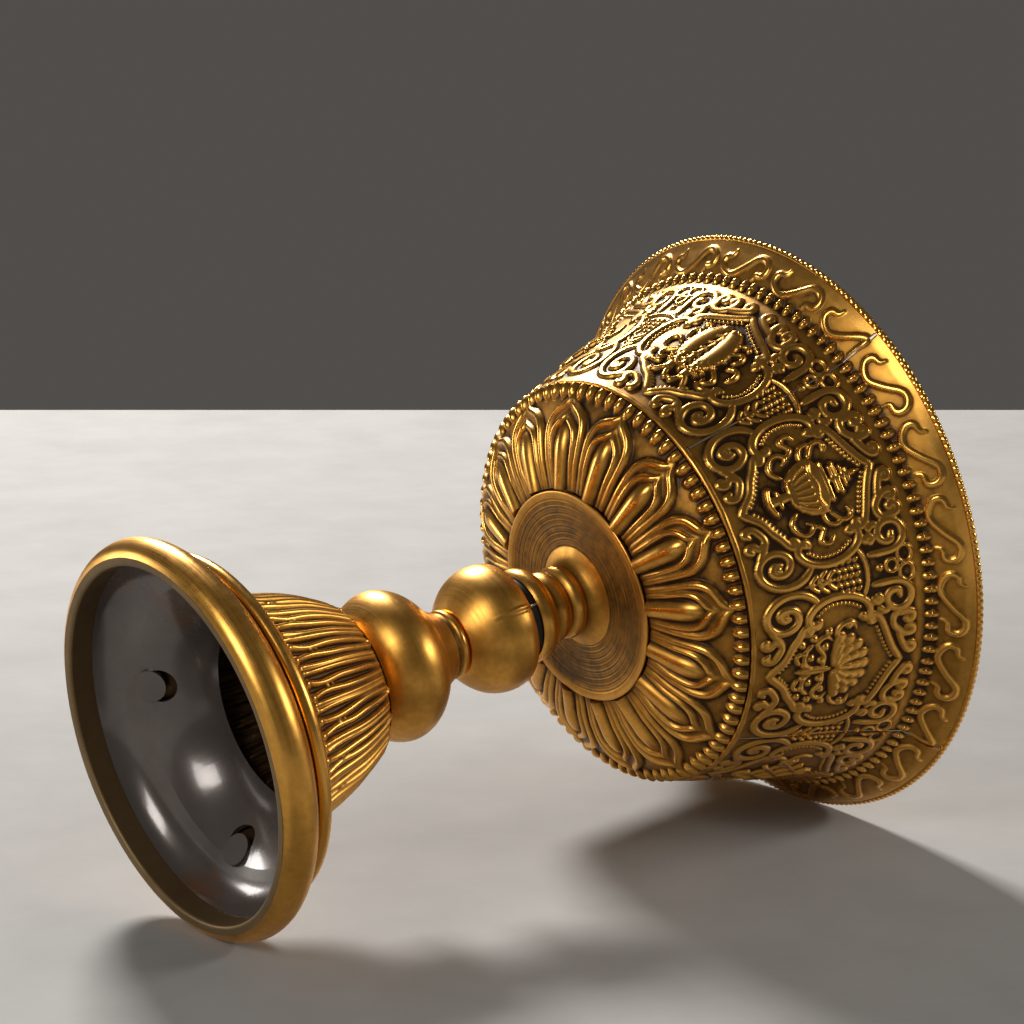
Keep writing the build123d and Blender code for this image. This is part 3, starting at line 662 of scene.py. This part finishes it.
wall = Relief(0, 360, COL_STEP, WALL_LENGTH, ROW_STEP, (wall_s, wall_r))
wall.h = wall_h
BEAD_ROW = float(np.interp(LIP[0][0], wall_line[:, 0], wall_s))
LIP_BEADS = 128
LIP_BEAD = 0.62
LIP_BEAD_H = 0.78
LIP_BEAD_LONG = 1.7
for k in range(LIP_BEADS):
    angle = (k + 0.5) * 360 / LIP_BEADS
    size = LIP_BEAD + 0.03 * rng.normal()
    wall.dab(angle + 0.1 * rng.normal(), BEAD_ROW, size, LIP_BEAD_H, long=LIP_BEAD_LONG)
# flowing S-scrolls on the lip, started afresh after each seam
S_PITCH = 15.36     # degrees from one scroll to the next
S_REACH = 0.88      # each scroll stops short of the next
S_LINE = [
    (2.9, 9.5), (2.3, 8.7), (0.7, 8.4), (0.0, 7.5), (1.2, 6.3), (3.7, 5.8), (6.2, 6.6), (9, 8.2),
    (11.1, 9.3), (13.2, 9.1), (14.3, 7.9), (13.6, 6.9), (11.6, 6.7), (11.0, 5.8),
]
LIP_LOW = 4.45      # row of the beads in the lip's own count
SEAM_CLEAR = 3.0    # degrees left plain after each seam
for quarter in range(4):
    for k in range(6):
        left = quarter * 90 + SEAM_CLEAR + k * S_PITCH
        points = [(left + x * S_REACH, BEAD_ROW + v - LIP_LOW) for x, v in S_LINE]
        points = [p for p in points if p[0] < quarter * 90 + 89.6]
        if len(points) > 2:
            wall.stroke(points, 0.5, 0.42, ends=(0.45, 0.45), power=FLAT)
WALL_MEAN_R = 34
mm_col = WALL_MEAN_R * math.radians(COL_STEP)
soft = wavy(wall.rows, COLS, ROW_STEP, mm_col, 3, 5.0)
uneven = wavy(wall.rows, COLS, ROW_STEP, mm_col, 4, 1.6)
relief = blurred(wall.h, 0.54, 0.55)
patchy = 0.82 + 0.3 * wavy(wall.rows, COLS, ROW_STEP, mm_col, 5, 9.0)
wall_height = relief * patchy + 0.10 * soft + 0.035 * uneven
wall_polish_and_shade = polish_and_shade_map(relief, 2.8, 3.6, 1.9, 0.475) + 0.07 * uneven
# plain bands above the scrollwork and along the lip stay rubbed bright
rows_v = wall.v[:, None]
band = np.clip(1 - np.abs(rows_v - (BEAD_ROW - 1.9)) / 1.0, 0, 1)
band = band + np.clip((rows_v - BEAD_ROW - 4.6) / 0.8, 0, 1)
wall_polish_and_shade = np.clip(wall_polish_and_shade + 0.28 * np.clip(band, 0, 1), 0, 1)
lip_zone = np.clip((rows_v - BEAD_ROW - 0.8) / 0.4, 0, 1)
lip_zone = lip_zone * np.clip((BEAD_ROW + 5.4 - rows_v) / 0.4, 0, 1)
wall_polish_and_shade = np.clip(wall_polish_and_shade + 0.10 * lip_zone, 0, 1)
SEAM_HALF = 0.1     # degrees of gap on each side of a seam
SHEET_BACK = 0.7    # mm that the wall's edges are turned in
for quarter in range(4):
    c0 = quarter * COLS // 4
    cols = np.arange(c0, c0 + COLS // 4 + 1)
    angles = cols * COL_STEP
    angles[0] += SEAM_HALF
    angles[-1] -= SEAM_HALF
    lap = 0.05 * quarter / 3 + 0.22 * np.exp(-(angles - angles[0]) / 0.35) * (quarter in (1, 2))
    piece = relief_sheet(
        f"embossed_wall_{quarter + 1}",
        wall_line,
        angles,
        wall_height[:, cols % COLS] + lap[None, :],
        wall_polish_and_shade[:, cols % COLS],
        False,
        SHEET_BACK,
    )
    finish_as(piece, embossed, "embossed_brass", "bowl", f"wall_panel_{quarter + 1}")

# soldered seams: thin uneven beads of solder down each joint
SEAM_ROWS = 260
SEAM_SIDES = 12
around = np.linspace(0, 2 * math.pi, SEAM_SIDES, endpoint=False)
row_at = np.linspace(0.3, WALL_LENGTH - 0.2, SEAM_ROWS)
seam_r = np.interp(row_at, wall_s, wall_r)[:, None]
seam_z = np.interp(row_at, wall_s, wall_line[:, 0])[:, None]
lip_part = np.clip((row_at - BEAD_ROW - 0.5) / 1.5, 0, 1)
for quarter in range(4):
    ripple = wavy(SEAM_ROWS, 8, 0.13, 1, 30 + quarter, 0.8)[:, 0]
    drift = wavy(SEAM_ROWS, 8, 0.13, 1, 40 + quarter, 2.5)[:, 0]
    wide = 0.16 + 0.07 * ripple + 0.28 * lip_part * (0.7 + 0.5 * ripple)
    side = wide[:, None] * np.cos(around) + 0.12 * drift[:, None]
    radius = seam_r + ((0.16 + 0.05 * ripple[:, None]) * np.sin(around) + 0.06)
    angle = math.radians(quarter * 90.0)
    x = radius * math.cos(angle) - side * math.sin(angle)
    y = radius * math.sin(angle) + side * math.cos(angle)
    verts = np.stack([x, y, seam_z + 0 * side], -1).reshape(-1, 3)
    polish_and_shade = np.clip(0.45 + 0.3 * ripple[:, None] + 0 * side, 0, 1)
    strip = build_mesh(
        f"seam_solder_{quarter + 1}", verts, grid_faces(SEAM_ROWS, SEAM_SIDES, True)[:, ::-1], polish_and_shade
    )
    finish_as(strip, solder, "bright_brass", "bowl")

# ---- petal pan ----------------------------------------------------------
PAN = [(70.2, 15.9), (70.9, 19.0), (71.85, 22.5), (73.4, 26.0), (75.2, 28.7), (76.1, 29.7)]
pan_line = spline(PAN, 0.1)
pan_s, pan_r = line_frame(pan_line)[:2]
PAN_LENGTH = float(pan_s[-1])
PETALS = 16
PETAL_ARC = 360 / PETALS
PAN_STEP = 0.375
PAN_ROW = 0.16
petal = Relief(-PETAL_ARC / 2, PETAL_ARC / 2, PAN_STEP, PAN_LENGTH, PAN_ROW, (pan_s, pan_r))
OUTER = [
    (8.9, -0.5), (9.1, 3), (9.2, 6.5), (8.7, 8.9), (7.3, 10.3), (4.9, 11.3), (2.4, 12.0), (0.9, 12.7),
    (0, 13.7),
]
INNER = [(6.2, -0.5), (6.4, 3), (6.4, 6.0), (5.7, 7.9), (4.0, 9.0), (2.0, 9.7), (0.8, 10.3), (0, 11.2)]


def half_width(outline):
    """The outline's half width in degrees at each row of the petal."""
    line = spline(outline, 0.1)
    order = np.argsort(line[:, 1])
    return np.interp(petal.v, line[order, 1], line[order, 0], right=0)[:, None]


du = (np.arange(petal.cols) * PAN_STEP - PETAL_ARC / 2)[None, :]
outer_w, inner_w = half_width(OUTER), half_width(INNER)
inside = np.clip((outer_w - np.abs(du)) * petal.per_degree[:, None] / 0.35, 0, 1)
inner_in = np.clip((inner_w - np.abs(du)) * petal.per_degree[:, None] / 0.35, 0, 1)
petal.h = 0.34 * inside * (0.6 + 0.4 * np.clip(petal.v[:, None] / 9, 0, 1)) + 0.12 * inner_in
petal.stroke(OUTER, 0.72, 0.85, ends=(1, 0.5), mirror=0)
petal.stroke(INNER, 0.62, 1.02, ends=(1, 0.5), mirror=0)
petal.h *= np.clip(0.5 + petal.v[:, None] / 8, 0, 1)
for y in np.arange(-0.4, 8.6, 0.12):
    lens = math.sqrt(max(0.0, 1 - (max(0, y - 5.2) / 3.6) ** 2))
    petal.dab(0, y, 0.4 + 1.05 * lens * (0.92 + 0.06 * y), 0.4 + 1.0 * lens)
pan_cols = int(round(360 / PAN_STEP))
pan = Relief(0, 360, PAN_STEP, PAN_LENGTH, PAN_ROW, (pan_s, pan_r))
PETAL_PHASE = 1.0     # degrees from the first seam to the first petal
base_u = np.arange(petal.cols)
for k in range(PETALS):
    start = int(round((PETAL_PHASE + k * PETAL_ARC - PETAL_ARC / 2 + 0.35 * rng.normal()) / PAN_STEP))
    cols = (start + base_u) % pan_cols
    pan.h[:, cols] = np.maximum(pan.h[:, cols], petal.h * (0.93 + 0.07 * rng.random()))
PAN_BEADS = 88
PAN_BEAD_ROW = 14.35
PAN_BEAD = 0.82
PAN_BEAD_H = 0.95
PAN_BEAD_LONG = 1.8
for k in range(PAN_BEADS):
    angle = k * 360 / PAN_BEADS + 0.12 * rng.normal()
    row = PAN_BEAD_ROW + 0.06 * rng.normal()
    pan.dab(angle, row, PAN_BEAD + 0.02 * rng.normal(), PAN_BEAD_H, long=PAN_BEAD_LONG)
PAN_MEAN_R = 23
pan_mm = PAN_MEAN_R * math.radians(PAN_STEP)
pan_relief = blurred(pan.h, 0.58, 0.5)
pan_soft = wavy(pan.rows, pan_cols, PAN_ROW, pan_mm, 11, 4.0)
pan_fine = wavy(pan.rows, pan_cols, PAN_ROW, pan_mm, 12, 1.2)
pan_height = pan_relief + 0.08 * pan_soft + 0.03 * pan_fine
pan_polish_and_shade = np.clip(polish_and_shade_map(pan_relief, 2.75, 3.3, 1.4, 0.50) + 0.07 * pan_fine, 0, 1)
# the pan's lowest rows, in the crease against the disc, are painted darker as shade
pan_polish_and_shade = pan_polish_and_shade * (0.55 + 0.45 * np.clip(pan.v[:, None] / 1.6, 0, 1))
piece = relief_sheet(
    "petal_pan_relief", pan_line, np.arange(pan_cols) * PAN_STEP, pan_height, pan_polish_and_shade, True, 0.6
)
finish_as(piece, embossed, "embossed_brass", "bowl", "petal_pan")

# ragged line of solder where the pan meets the wall
LEDGE_COLS = 1440
LEDGE_SIDES = 14
LEDGE_R = 30.0
LEDGE_Z = 76.6
ledge_angle = np.radians(np.arange(LEDGE_COLS) * 360 / LEDGE_COLS)
rag = wavy(8, LEDGE_COLS, 1, 0.13, 21, 0.7)[0]
slow = wavy(8, LEDGE_COLS, 1, 0.13, 22, 4.0)[0]
fat = 0.36 + 0.13 * rag + 0.12 * slow
around = np.linspace(0, 2 * math.pi, LEDGE_SIDES, endpoint=False)[:, None]
ledge_r = LEDGE_R + 0.1 * slow + fat * np.cos(around)
ledge_z = LEDGE_Z + 0.08 * rag + (fat + 0.1) * np.sin(around)
ledge_r = np.vstack([ledge_r, ledge_r[:1]])
ledge_z = np.vstack([ledge_z, ledge_z[:1]])
verts = np.stack([ledge_r * np.cos(ledge_angle), ledge_r * np.sin(ledge_angle), ledge_z], -1).reshape(-1, 3)
polish_and_shade = np.clip(0.62 + 0.35 * rag[None, :] + 0 * ledge_r, 0, 1)
piece = build_mesh("ledge_solder", verts, grid_faces(LEDGE_SIDES + 1, LEDGE_COLS, True)[:, ::-1], polish_and_shade)
finish_as(piece, embossed, "embossed_brass", "bowl")

# ---- milled rim ---------------------------------------------------------
TEETH = 256
TOOTH_R = 43.9      # radius at which the teeth start
TOOTH_H = 0.07


def milled(s, z, r, degrees):
    """Fine teeth on the outer edge of the rim."""
    tooth = np.cos(np.radians(degrees * TEETH))
    reach = np.clip((r - TOOTH_R) / 0.25, 0, 1)[:, None]
    return TOOTH_H * np.sign(tooth) * np.abs(tooth) ** 0.5 * reach


rim = turned(
    "milled_rim",
    [
        [(106.25, 42.0), (106.25, 43.9)],
        [
            (106.25, 43.9), (106.42, 44.16), (106.75, 44.3), (107.08, 44.1), (107.2, 43.6), (107.1, 42.6),
            (106.55, 41.9),
        ],
    ],
    cols=TEETH * 8,
    dents=0.02,
    seed=51,
    step=0.13,
    ripple=milled,
)
finish_as(rim, bright, "bright_brass", "bowl", "rim_ring")

# ---- fluted skirt -------------------------------------------------------
SKIRT = [
    (9.6, 20.4), (11.1, 18.45), (13.4, 16.9), (16.0, 15.9), (18.6, 15.2), (21.4, 14.35), (24.2, 13.1),
    (26.7, 11.75), (28.9, 10.4),
]
skirt_line = spline(SKIRT, 0.1)
skirt_s, skirt_r = line_frame(skirt_line)[:2]
SKIRT_LENGTH = float(skirt_s[-1])
FLUTE_STEP = 0.45
FLUTE_ROW = 0.19
skirt = Relief(0, 360, FLUTE_STEP, SKIRT_LENGTH, FLUTE_ROW, (skirt_s, skirt_r))
LOOPS = 20
LOOP_ARC = 360 // LOOPS
for k in range(LOOPS):
    c = 7 + LOOP_ARC * k + 0.5 * rng.normal()
    lean = 0.35 * rng.normal()
    h = 0.95 + 0.08 * rng.normal()
    knotty = 8.2 + 0.8 * rng.random()
    for sign in (1, -1):
        gap = 2.9 + 0.3 * rng.normal()
        skirt.stroke(
            [
                (c + sign * 3.5, 5.3),
                (c + sign * 2.1, knotty - 0.4),
                (c + sign * (gap - 0.1), knotty + 3),
                (c + sign * gap + lean, 14),
                (c + sign * (gap - 0.1) + lean, 18.4),
                (c + sign * (gap - 0.9) + lean, 20.8),
            ],
            0.56,
            h,
            ends=(0.9, 0.8),
        )
        skirt.dab(c + sign * 3.4, 5.2, 0.72 + 0.1 * rng.random(), 1.0)
    skirt.dab(c, knotty, 0.5, 0.85)
    skirt.dab(c + 0.3, knotty + 1.1, 0.42, 0.7)
    if k % 3 != 1:
        skirt.stroke([(c - 1.3 + lean, 20.5), (c + lean, 21.0), (c + 1.3 + lean, 20.5)], 0.46, h)
    d = 16 + LOOP_ARC * k + 0.4 * rng.normal()
    bow = 0.35 * rng.normal()
    for sign in (1, -1):
        skirt.stroke(
            [
                (d + sign * 1.5, 5.4), (d + sign * 1.15, 9.5), (d + sign * 1.25 + bow, 14),
                (d + sign * 1.4, 20.6),
            ],
            0.52,
            h * 1.02,
            ends=(0.9, 0.8),
        )
        skirt.dab(d + sign * 1.3, 5.1, 0.66, 0.9)
skirt_relief = blurred(skirt.h, 0.55, 0.72)
SKIRT_MEAN_R = 15
skirt_mm = SKIRT_MEAN_R * math.radians(FLUTE_STEP)
skirt_soft = wavy(skirt.rows, skirt.cols, FLUTE_ROW, skirt_mm, 61, 2.6)
skirt_fine = wavy(skirt.rows, skirt.cols, FLUTE_ROW, skirt_mm, 62, 0.9)
sunk = 0.25 * np.clip((skirt.v[:, None] - 4.4) / 0.7, 0, 1)
skirt_height = skirt_relief * (0.85 + 0.2 * skirt_soft) - sunk + 0.07 * skirt_soft + 0.04 * skirt_fine
skirt_polish_and_shade = polish_and_shade_map(skirt_relief - sunk, 1.85, 2.85, 1.5, 0.48) + 0.09 * skirt_fine
piece = relief_sheet(
    "fluted_skirt_relief",
    skirt_line,
    np.arange(skirt.cols) * FLUTE_STEP,
    skirt_height,
    np.clip(skirt_polish_and_shade, 0, 1),
    True,
    0.6,
)
finish_as(piece, satin, "embossed_brass", "stem", "fluted_skirt")


def flute_backs(s, z, r, degrees):
    """The flutes seen from behind: grooves where the outside has ridges."""
    rows = np.clip(np.interp(z, skirt_line[:, 0], skirt_s) / skirt.dv, 0, skirt.rows - 1).astype(int)
    return -0.7 * skirt_relief[rows][:, ::2] * np.clip((28.3 - z) / 1.5, 0, 1)[:, None]


# the skirt's inside is painted nearly as dark as the deepest hollows, as shade inside the foot
inside = turned(
    "skirt_inside",
    [
        [(28.8, 3.3), (28.8, 7.0)],
        [(28.8, 7.0), (28.3, 9.1), (24.2, 12.2), (18.6, 14.3), (13.4, 16.0), (9.6, 19.5)],
    ],
    cols=skirt.cols // 2,
    seed=64,
    step=0.16,
    ripple=flute_backs,
    polish_and_shade_base=0.04,
)
finish_as(inside, embossed, "embossed_brass", "stem")
flange = turned(
    "skirt_flange",
    [
        [(7.2, 23.4), (7.3, 24.2), (8.1, 24.65), (9.05, 24.2), (9.5, 23.0), (9.62, 21.6), (9.65, 20.2)],
        [(28.7, 10.5), (29.3, 9.5), (29.6, 8.2)],
        [(29.6, 8.2), (29.6, 3.3)],
    ],
    dents=0.06,
    seed=63,
)
finish_as(flange, satin, "embossed_brass", "stem")

# ---- turned pieces ------------------------------------------------------
CAST_ANGLE = 20      # degrees round the knop to the casting line
CAST_LOW = 49.5      # the line fades out below this height
foot = turned(
    "foot_ring_turned",
    [
        [(0.0, 26.2), (0.5, 27.1), (1.7, 27.9), (3.2, 28.1), (4.6, 27.4), (5.6, 26.1), (6.0, 25.55)],
        [(6.0, 25.55), (6.85, 23.9)],
        [(6.85, 23.9), (4.1, 25.8), (3.5, 25.8)],
        [(3.5, 25.8), (3.5, 24.9)],
    ],
    dents=0.08,
    seed=71,
    cols=360,
)
finish_as(foot, satin, "satin_brass", "stem", "foot_ring")
# the foot's inner wall and standing face are dark, dull brass; on the inner wall inside the foot the dark
# is painted shade
foot_wall = turned(
    "foot_ring_inner_wall",
    [
        [(3.5, 24.9), (2.0, 24.9), (0.4, 24.9)],
        [(0.4, 24.9), (0.1, 25.05), (0.0, 25.4)],
        [(0.0, 25.4), (0.0, 26.2)],
    ],
    seed=77,
    cols=360,
    polish_and_shade_base=0.2,
)
finish_as(foot_wall, dull, "satin_brass", "stem")
ball = turned(
    "ball_knop_turned",
    [
        [(29.65, 4.0), (29.65, 5.4)],
        [
            (29.65, 5.4), (30.1, 6.25), (31.4, 8.3), (33.2, 9.95), (35.9, 10.8), (38.4, 10.05),
            (39.6, 9.15), (40.15, 8.6),
        ],
        [(40.15, 8.6), (40.33, 8.45), (40.38, 8.2)],
        [(40.38, 8.2), (40.38, 4.0)],
    ],
    dents=0.07,
    seed=72,
)
finish_as(ball, satin, "satin_brass", "stem", "ball_knop")
collar = turned(
    "neck_collar_turned",
    [
        [(40.45, 7.9), (40.85, 7.75), (40.95, 7.3)],
        [(40.95, 7.3), (42.3, 6.3), (43.6, 5.5), (44.35, 5.15)],
        [(44.35, 5.15), (44.6, 4.75), (45.0, 4.65), (45.3, 4.7)],
        [(45.3, 4.7), (45.65, 5.0), (46.0, 5.0), (46.5, 4.7), (46.7, 4.4)],
    ],
    dents=0.04,
    seed=73,
)
finish_as(collar, satin, "satin_brass", "stem", "neck_collar")


def cast_seam(s, z, r, degrees):
    """Low, uneven casting line down two sides of the bell knop."""
    aside = (degrees - CAST_ANGLE + 90) % 180 - 90
    ridge = 0.17 * np.exp(-((aside / 1.1) ** 2)) - 0.14 * np.exp(-(((aside - 3.2) / 0.8) ** 2))
    return ridge * np.clip((z - CAST_LOW) / 3.5, 0, 1)[:, None]


bell = turned(
    "bell_knop_turned",
    [
        [(46.75, 4.2), (46.78, 4.9)],
        [
            (46.78, 4.9), (47.2, 5.45), (47.9, 6.3), (49.2, 7.6), (51.0, 8.75), (53.2, 9.25), (54.6, 9.18),
            (55.35, 9.0),
        ],
        [(55.35, 9.0), (55.58, 8.8), (55.6, 8.5), (55.5, 8.2)],
        [(55.5, 8.2), (54.6, 7.5), (54.1, 6.7)],
        [(54.1, 6.7), (54.1, 4.6)],
    ],
    dents=0.07,
    seed=74,
    ripple=cast_seam,
)
finish_as(bell, satin, "satin_brass", "stem", "bell_knop")
# a sliver of metal left from the casting line lies across the black washer
SLIVER_ROWS = 24
SLIVER_SIDES = 10
along = np.linspace(0, 1, SLIVER_ROWS)[:, None]
around = np.linspace(0, 2 * math.pi, SLIVER_SIDES, endpoint=False)
bend = 0.12 * np.sin(5 * along)
radius = 6.62 + 0.14 * np.cos(around) + 0.1 * np.sin(3 * along)
side = 0.22 * np.sin(around) * (1 - 0.4 * along) + bend
angle = math.radians(CAST_ANGLE)
x = radius * math.cos(angle) - side * math.sin(angle)
y = radius * math.sin(angle) + side * math.cos(angle)
verts = np.stack([x, y, 55.3 + 2.8 * along + 0 * side], -1).reshape(-1, 3)
sliver = build_mesh("casting_sliver", verts, grid_faces(SLIVER_ROWS, SLIVER_SIDES, True)[:, ::-1])
finish_as(sliver, solder, "bright_brass", "washer")
spool = turned(
    "ring_spool_turned",
    [
        [(58.4, 4.0), (58.4, 6.4)],
        [(58.4, 6.4), (58.9, 6.75), (60.1, 6.88), (61.2, 6.3), (61.9, 5.2)],
        [(61.9, 5.2), (62.15, 4.75)],
        [(62.15, 4.75), (62.9, 5.1), (63.8, 5.2), (64.6, 4.95), (65.05, 4.55)],
        [(65.05, 4.55), (65.6, 5.15), (66.4, 5.42), (67.2, 5.2), (67.55, 4.92)],
        [(67.55, 4.92), (68.3, 5.3), (69.0, 6.2), (69.45, 7.4)],
    ],
    dents=0.04,
    seed=75,
)
finish_as(spool, satin, "satin_brass", "bowl", "ring_spool")


def turning_rings(s, z, r, degrees):
    """Fine grooves left by the turning tool, round the disc's face."""
    rings = 0.030 * np.sin(r * 9.0) + 0.022 * np.sin(r * 15.5 + 1.0) + 0.012 * np.sin(r * 27.0)
    return rings[:, None] * np.clip((15.2 - r) / 0.5, 0, 1)[:, None]


# the disc's face is painted darker than the other turned pieces, as shade under the bowl
disc = turned(
    "dish_disc_turned",
    [
        [(69.5, 5.0), (69.5, 9.0), (69.4, 12.5), (69.2, 15.4)],
        [(69.2, 15.4), (69.3, 15.75), (69.55, 15.8), (69.8, 15.6)],
        [(69.8, 15.6), (70.35, 15.2)],
    ],
    dents=0.05,
    seed=76,
    step=0.06,
    ripple=turning_rings,
    polish_and_shade_base=0.24,
)
finish_as(disc, satin, "satin_brass", "bowl", "dish_disc")

# ---- pieces that keep their CAD shape -----------------------------------
for node, material in (
    ("foot_liner", steel),
    ("tie_washer", zinc),
    ("tie_nut", zinc),
    ("tie_rod", zinc),
    ("threaded_bush", plain),
    ("joint_washer", rubber),
    ("jam_nut", zinc),
    ("inner_cup", plain),
    ("pan_spacer", zinc),
    ("bowl_stud", zinc),
    ("wick_holder", plain),
):
    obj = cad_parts[node]
    obj.data.materials.clear()
    obj.data.materials.append(material)

# ---- camera -------------------------------------------------------------
CAMERA_AT = Vector((352.8, 179.8, -200.3)) * MM
TURN = math.radians(-117)
VIEW = Matrix(
    (
        (0.3496115, -0.5113326, 0.78505463),
        (0.93640057, 0.21792084, -0.27507179),
        (-0.03042659, 0.83129386, 0.55499976),
    )
) @ Matrix.Rotation(TURN, 3, "Z")
right, down, ahead = (Vector(row) for row in VIEW)
camera_data = bpy.data.cameras.new("camera")
camera_data.lens = 117.2
camera_data.sensor_width = 36
camera_data.clip_start = 0.01
camera_data.clip_end = 50
camera = bpy.data.objects.new("camera", camera_data)
facing = Matrix((right, -down, -ahead)).transposed().to_4x4()
camera.matrix_world = Matrix.Translation(CAMERA_AT) @ facing
bpy.context.scene.collection.objects.link(camera)
bpy.context.scene.camera = camera

# ---- floor, light -------------------------------------------------------
LEAN = math.radians(8.87)       # slope of the lamp's axis against the floor it lies on
SIDE = math.radians(-40.05)     # which way round the lamp lies
FOOT_R = 28.1                   # the foot's widest ring, which touches the floor
floor_up = Vector((math.cos(LEAN) * math.cos(SIDE), math.cos(LEAN) * math.sin(SIDE), math.sin(LEAN)))
touch = Vector((-FOOT_R * math.cos(SIDE), -FOOT_R * math.sin(SIDE), 3.2)) * MM
mid = Vector((0, 0, 0.055))
foot_point = mid - floor_up * (mid - touch).dot(floor_up)
n = Nodes("pale_floor")
grainy = n.noise(n.place(), 60, 6, 0.6)
tone = n.mix(n.spread(grainy, 0.3, 0.7), (0.35, 0.342, 0.33, 1), (0.40, 0.39, 0.377, 1))
shader = n.add("ShaderNodeBsdfPrincipled", {"Base Color": tone, "Roughness": 0.75})
clear = n.add("ShaderNodeBsdfTransparent")
from_below = n.add("ShaderNodeNewGeometry").outputs["Backfacing"]
both = n.add("ShaderNodeMixShader", {0: from_below, 1: shader.outputs[0], 2: clear.outputs[0]})
n.add("ShaderNodeOutputMaterial", {0: both.outputs[0]})
# the floor's far edge runs level across the picture
HORIZON = -0.0306    # its slope below the middle of the view, so negative is above
HALF_WIDTH = 1.6
DEPTH = 2.6
sight = ahead + down * HORIZON
far_edge = CAMERA_AT - sight * ((CAMERA_AT - foot_point).dot(floor_up) / sight.dot(floor_up))
nearer = floor_up.cross(right).normalized()
if nearer.dot(ahead) > 0:
    nearer = -nearer
spots = ((-HALF_WIDTH, 0), (-HALF_WIDTH, DEPTH), (HALF_WIDTH, DEPTH), (HALF_WIDTH, 0))
corners = [(far_edge + right * x + nearer * y) / MM for x, y in spots]
if (corners[1] - corners[0]).cross(corners[3] - corners[0]).dot(floor_up) < 0:
    corners.reverse()
floor = build_mesh("floor", np.array([list(c) for c in corners]), np.array([[0, 1, 2, 3]]), sharp=True)
floor.data.materials.append(n.material)


LIGHT_COLOUR = (1, 0.97, 0.93)


def softbox(name, offset, size, power):
    """Area light placed from the middle of the lamp, in the camera's directions."""
    data = bpy.data.lights.new(name, "AREA")
    data.shape = "RECTANGLE"
    data.size, data.size_y = size
    data.energy = power
    data.color = LIGHT_COLOUR
    light = bpy.data.objects.new(name, data)
    across, rise, depth = offset
    spot = mid + right * across - down * rise + ahead * depth
    light.location = spot
    light.rotation_euler = (mid - spot).to_track_quat("-Z", "Y").to_euler()
    bpy.context.scene.collection.objects.link(light)


softbox("key", (-0.22, 0.66, 0.5), (0.18, 0.18), 9)
softbox("front", (-0.53, 0.3, -0.75), (0.3, 0.4), 3.4)
softbox("left", (-0.85, 0.12, 0.32), (0.2, 0.2), 1.3)
softbox("side", (0.75, 0.3, -0.1), (0.1, 0.45), 2.2)
world = bpy.data.worlds.new("studio")
world.use_nodes = True
world.node_tree.nodes["Background"].inputs[0].default_value = (0.62, 0.58, 0.53, 1)
world.node_tree.nodes["Background"].inputs[1].default_value = 0.13
bpy.context.scene.world = world
bpy.context.scene.view_settings.view_transform = "Standard"
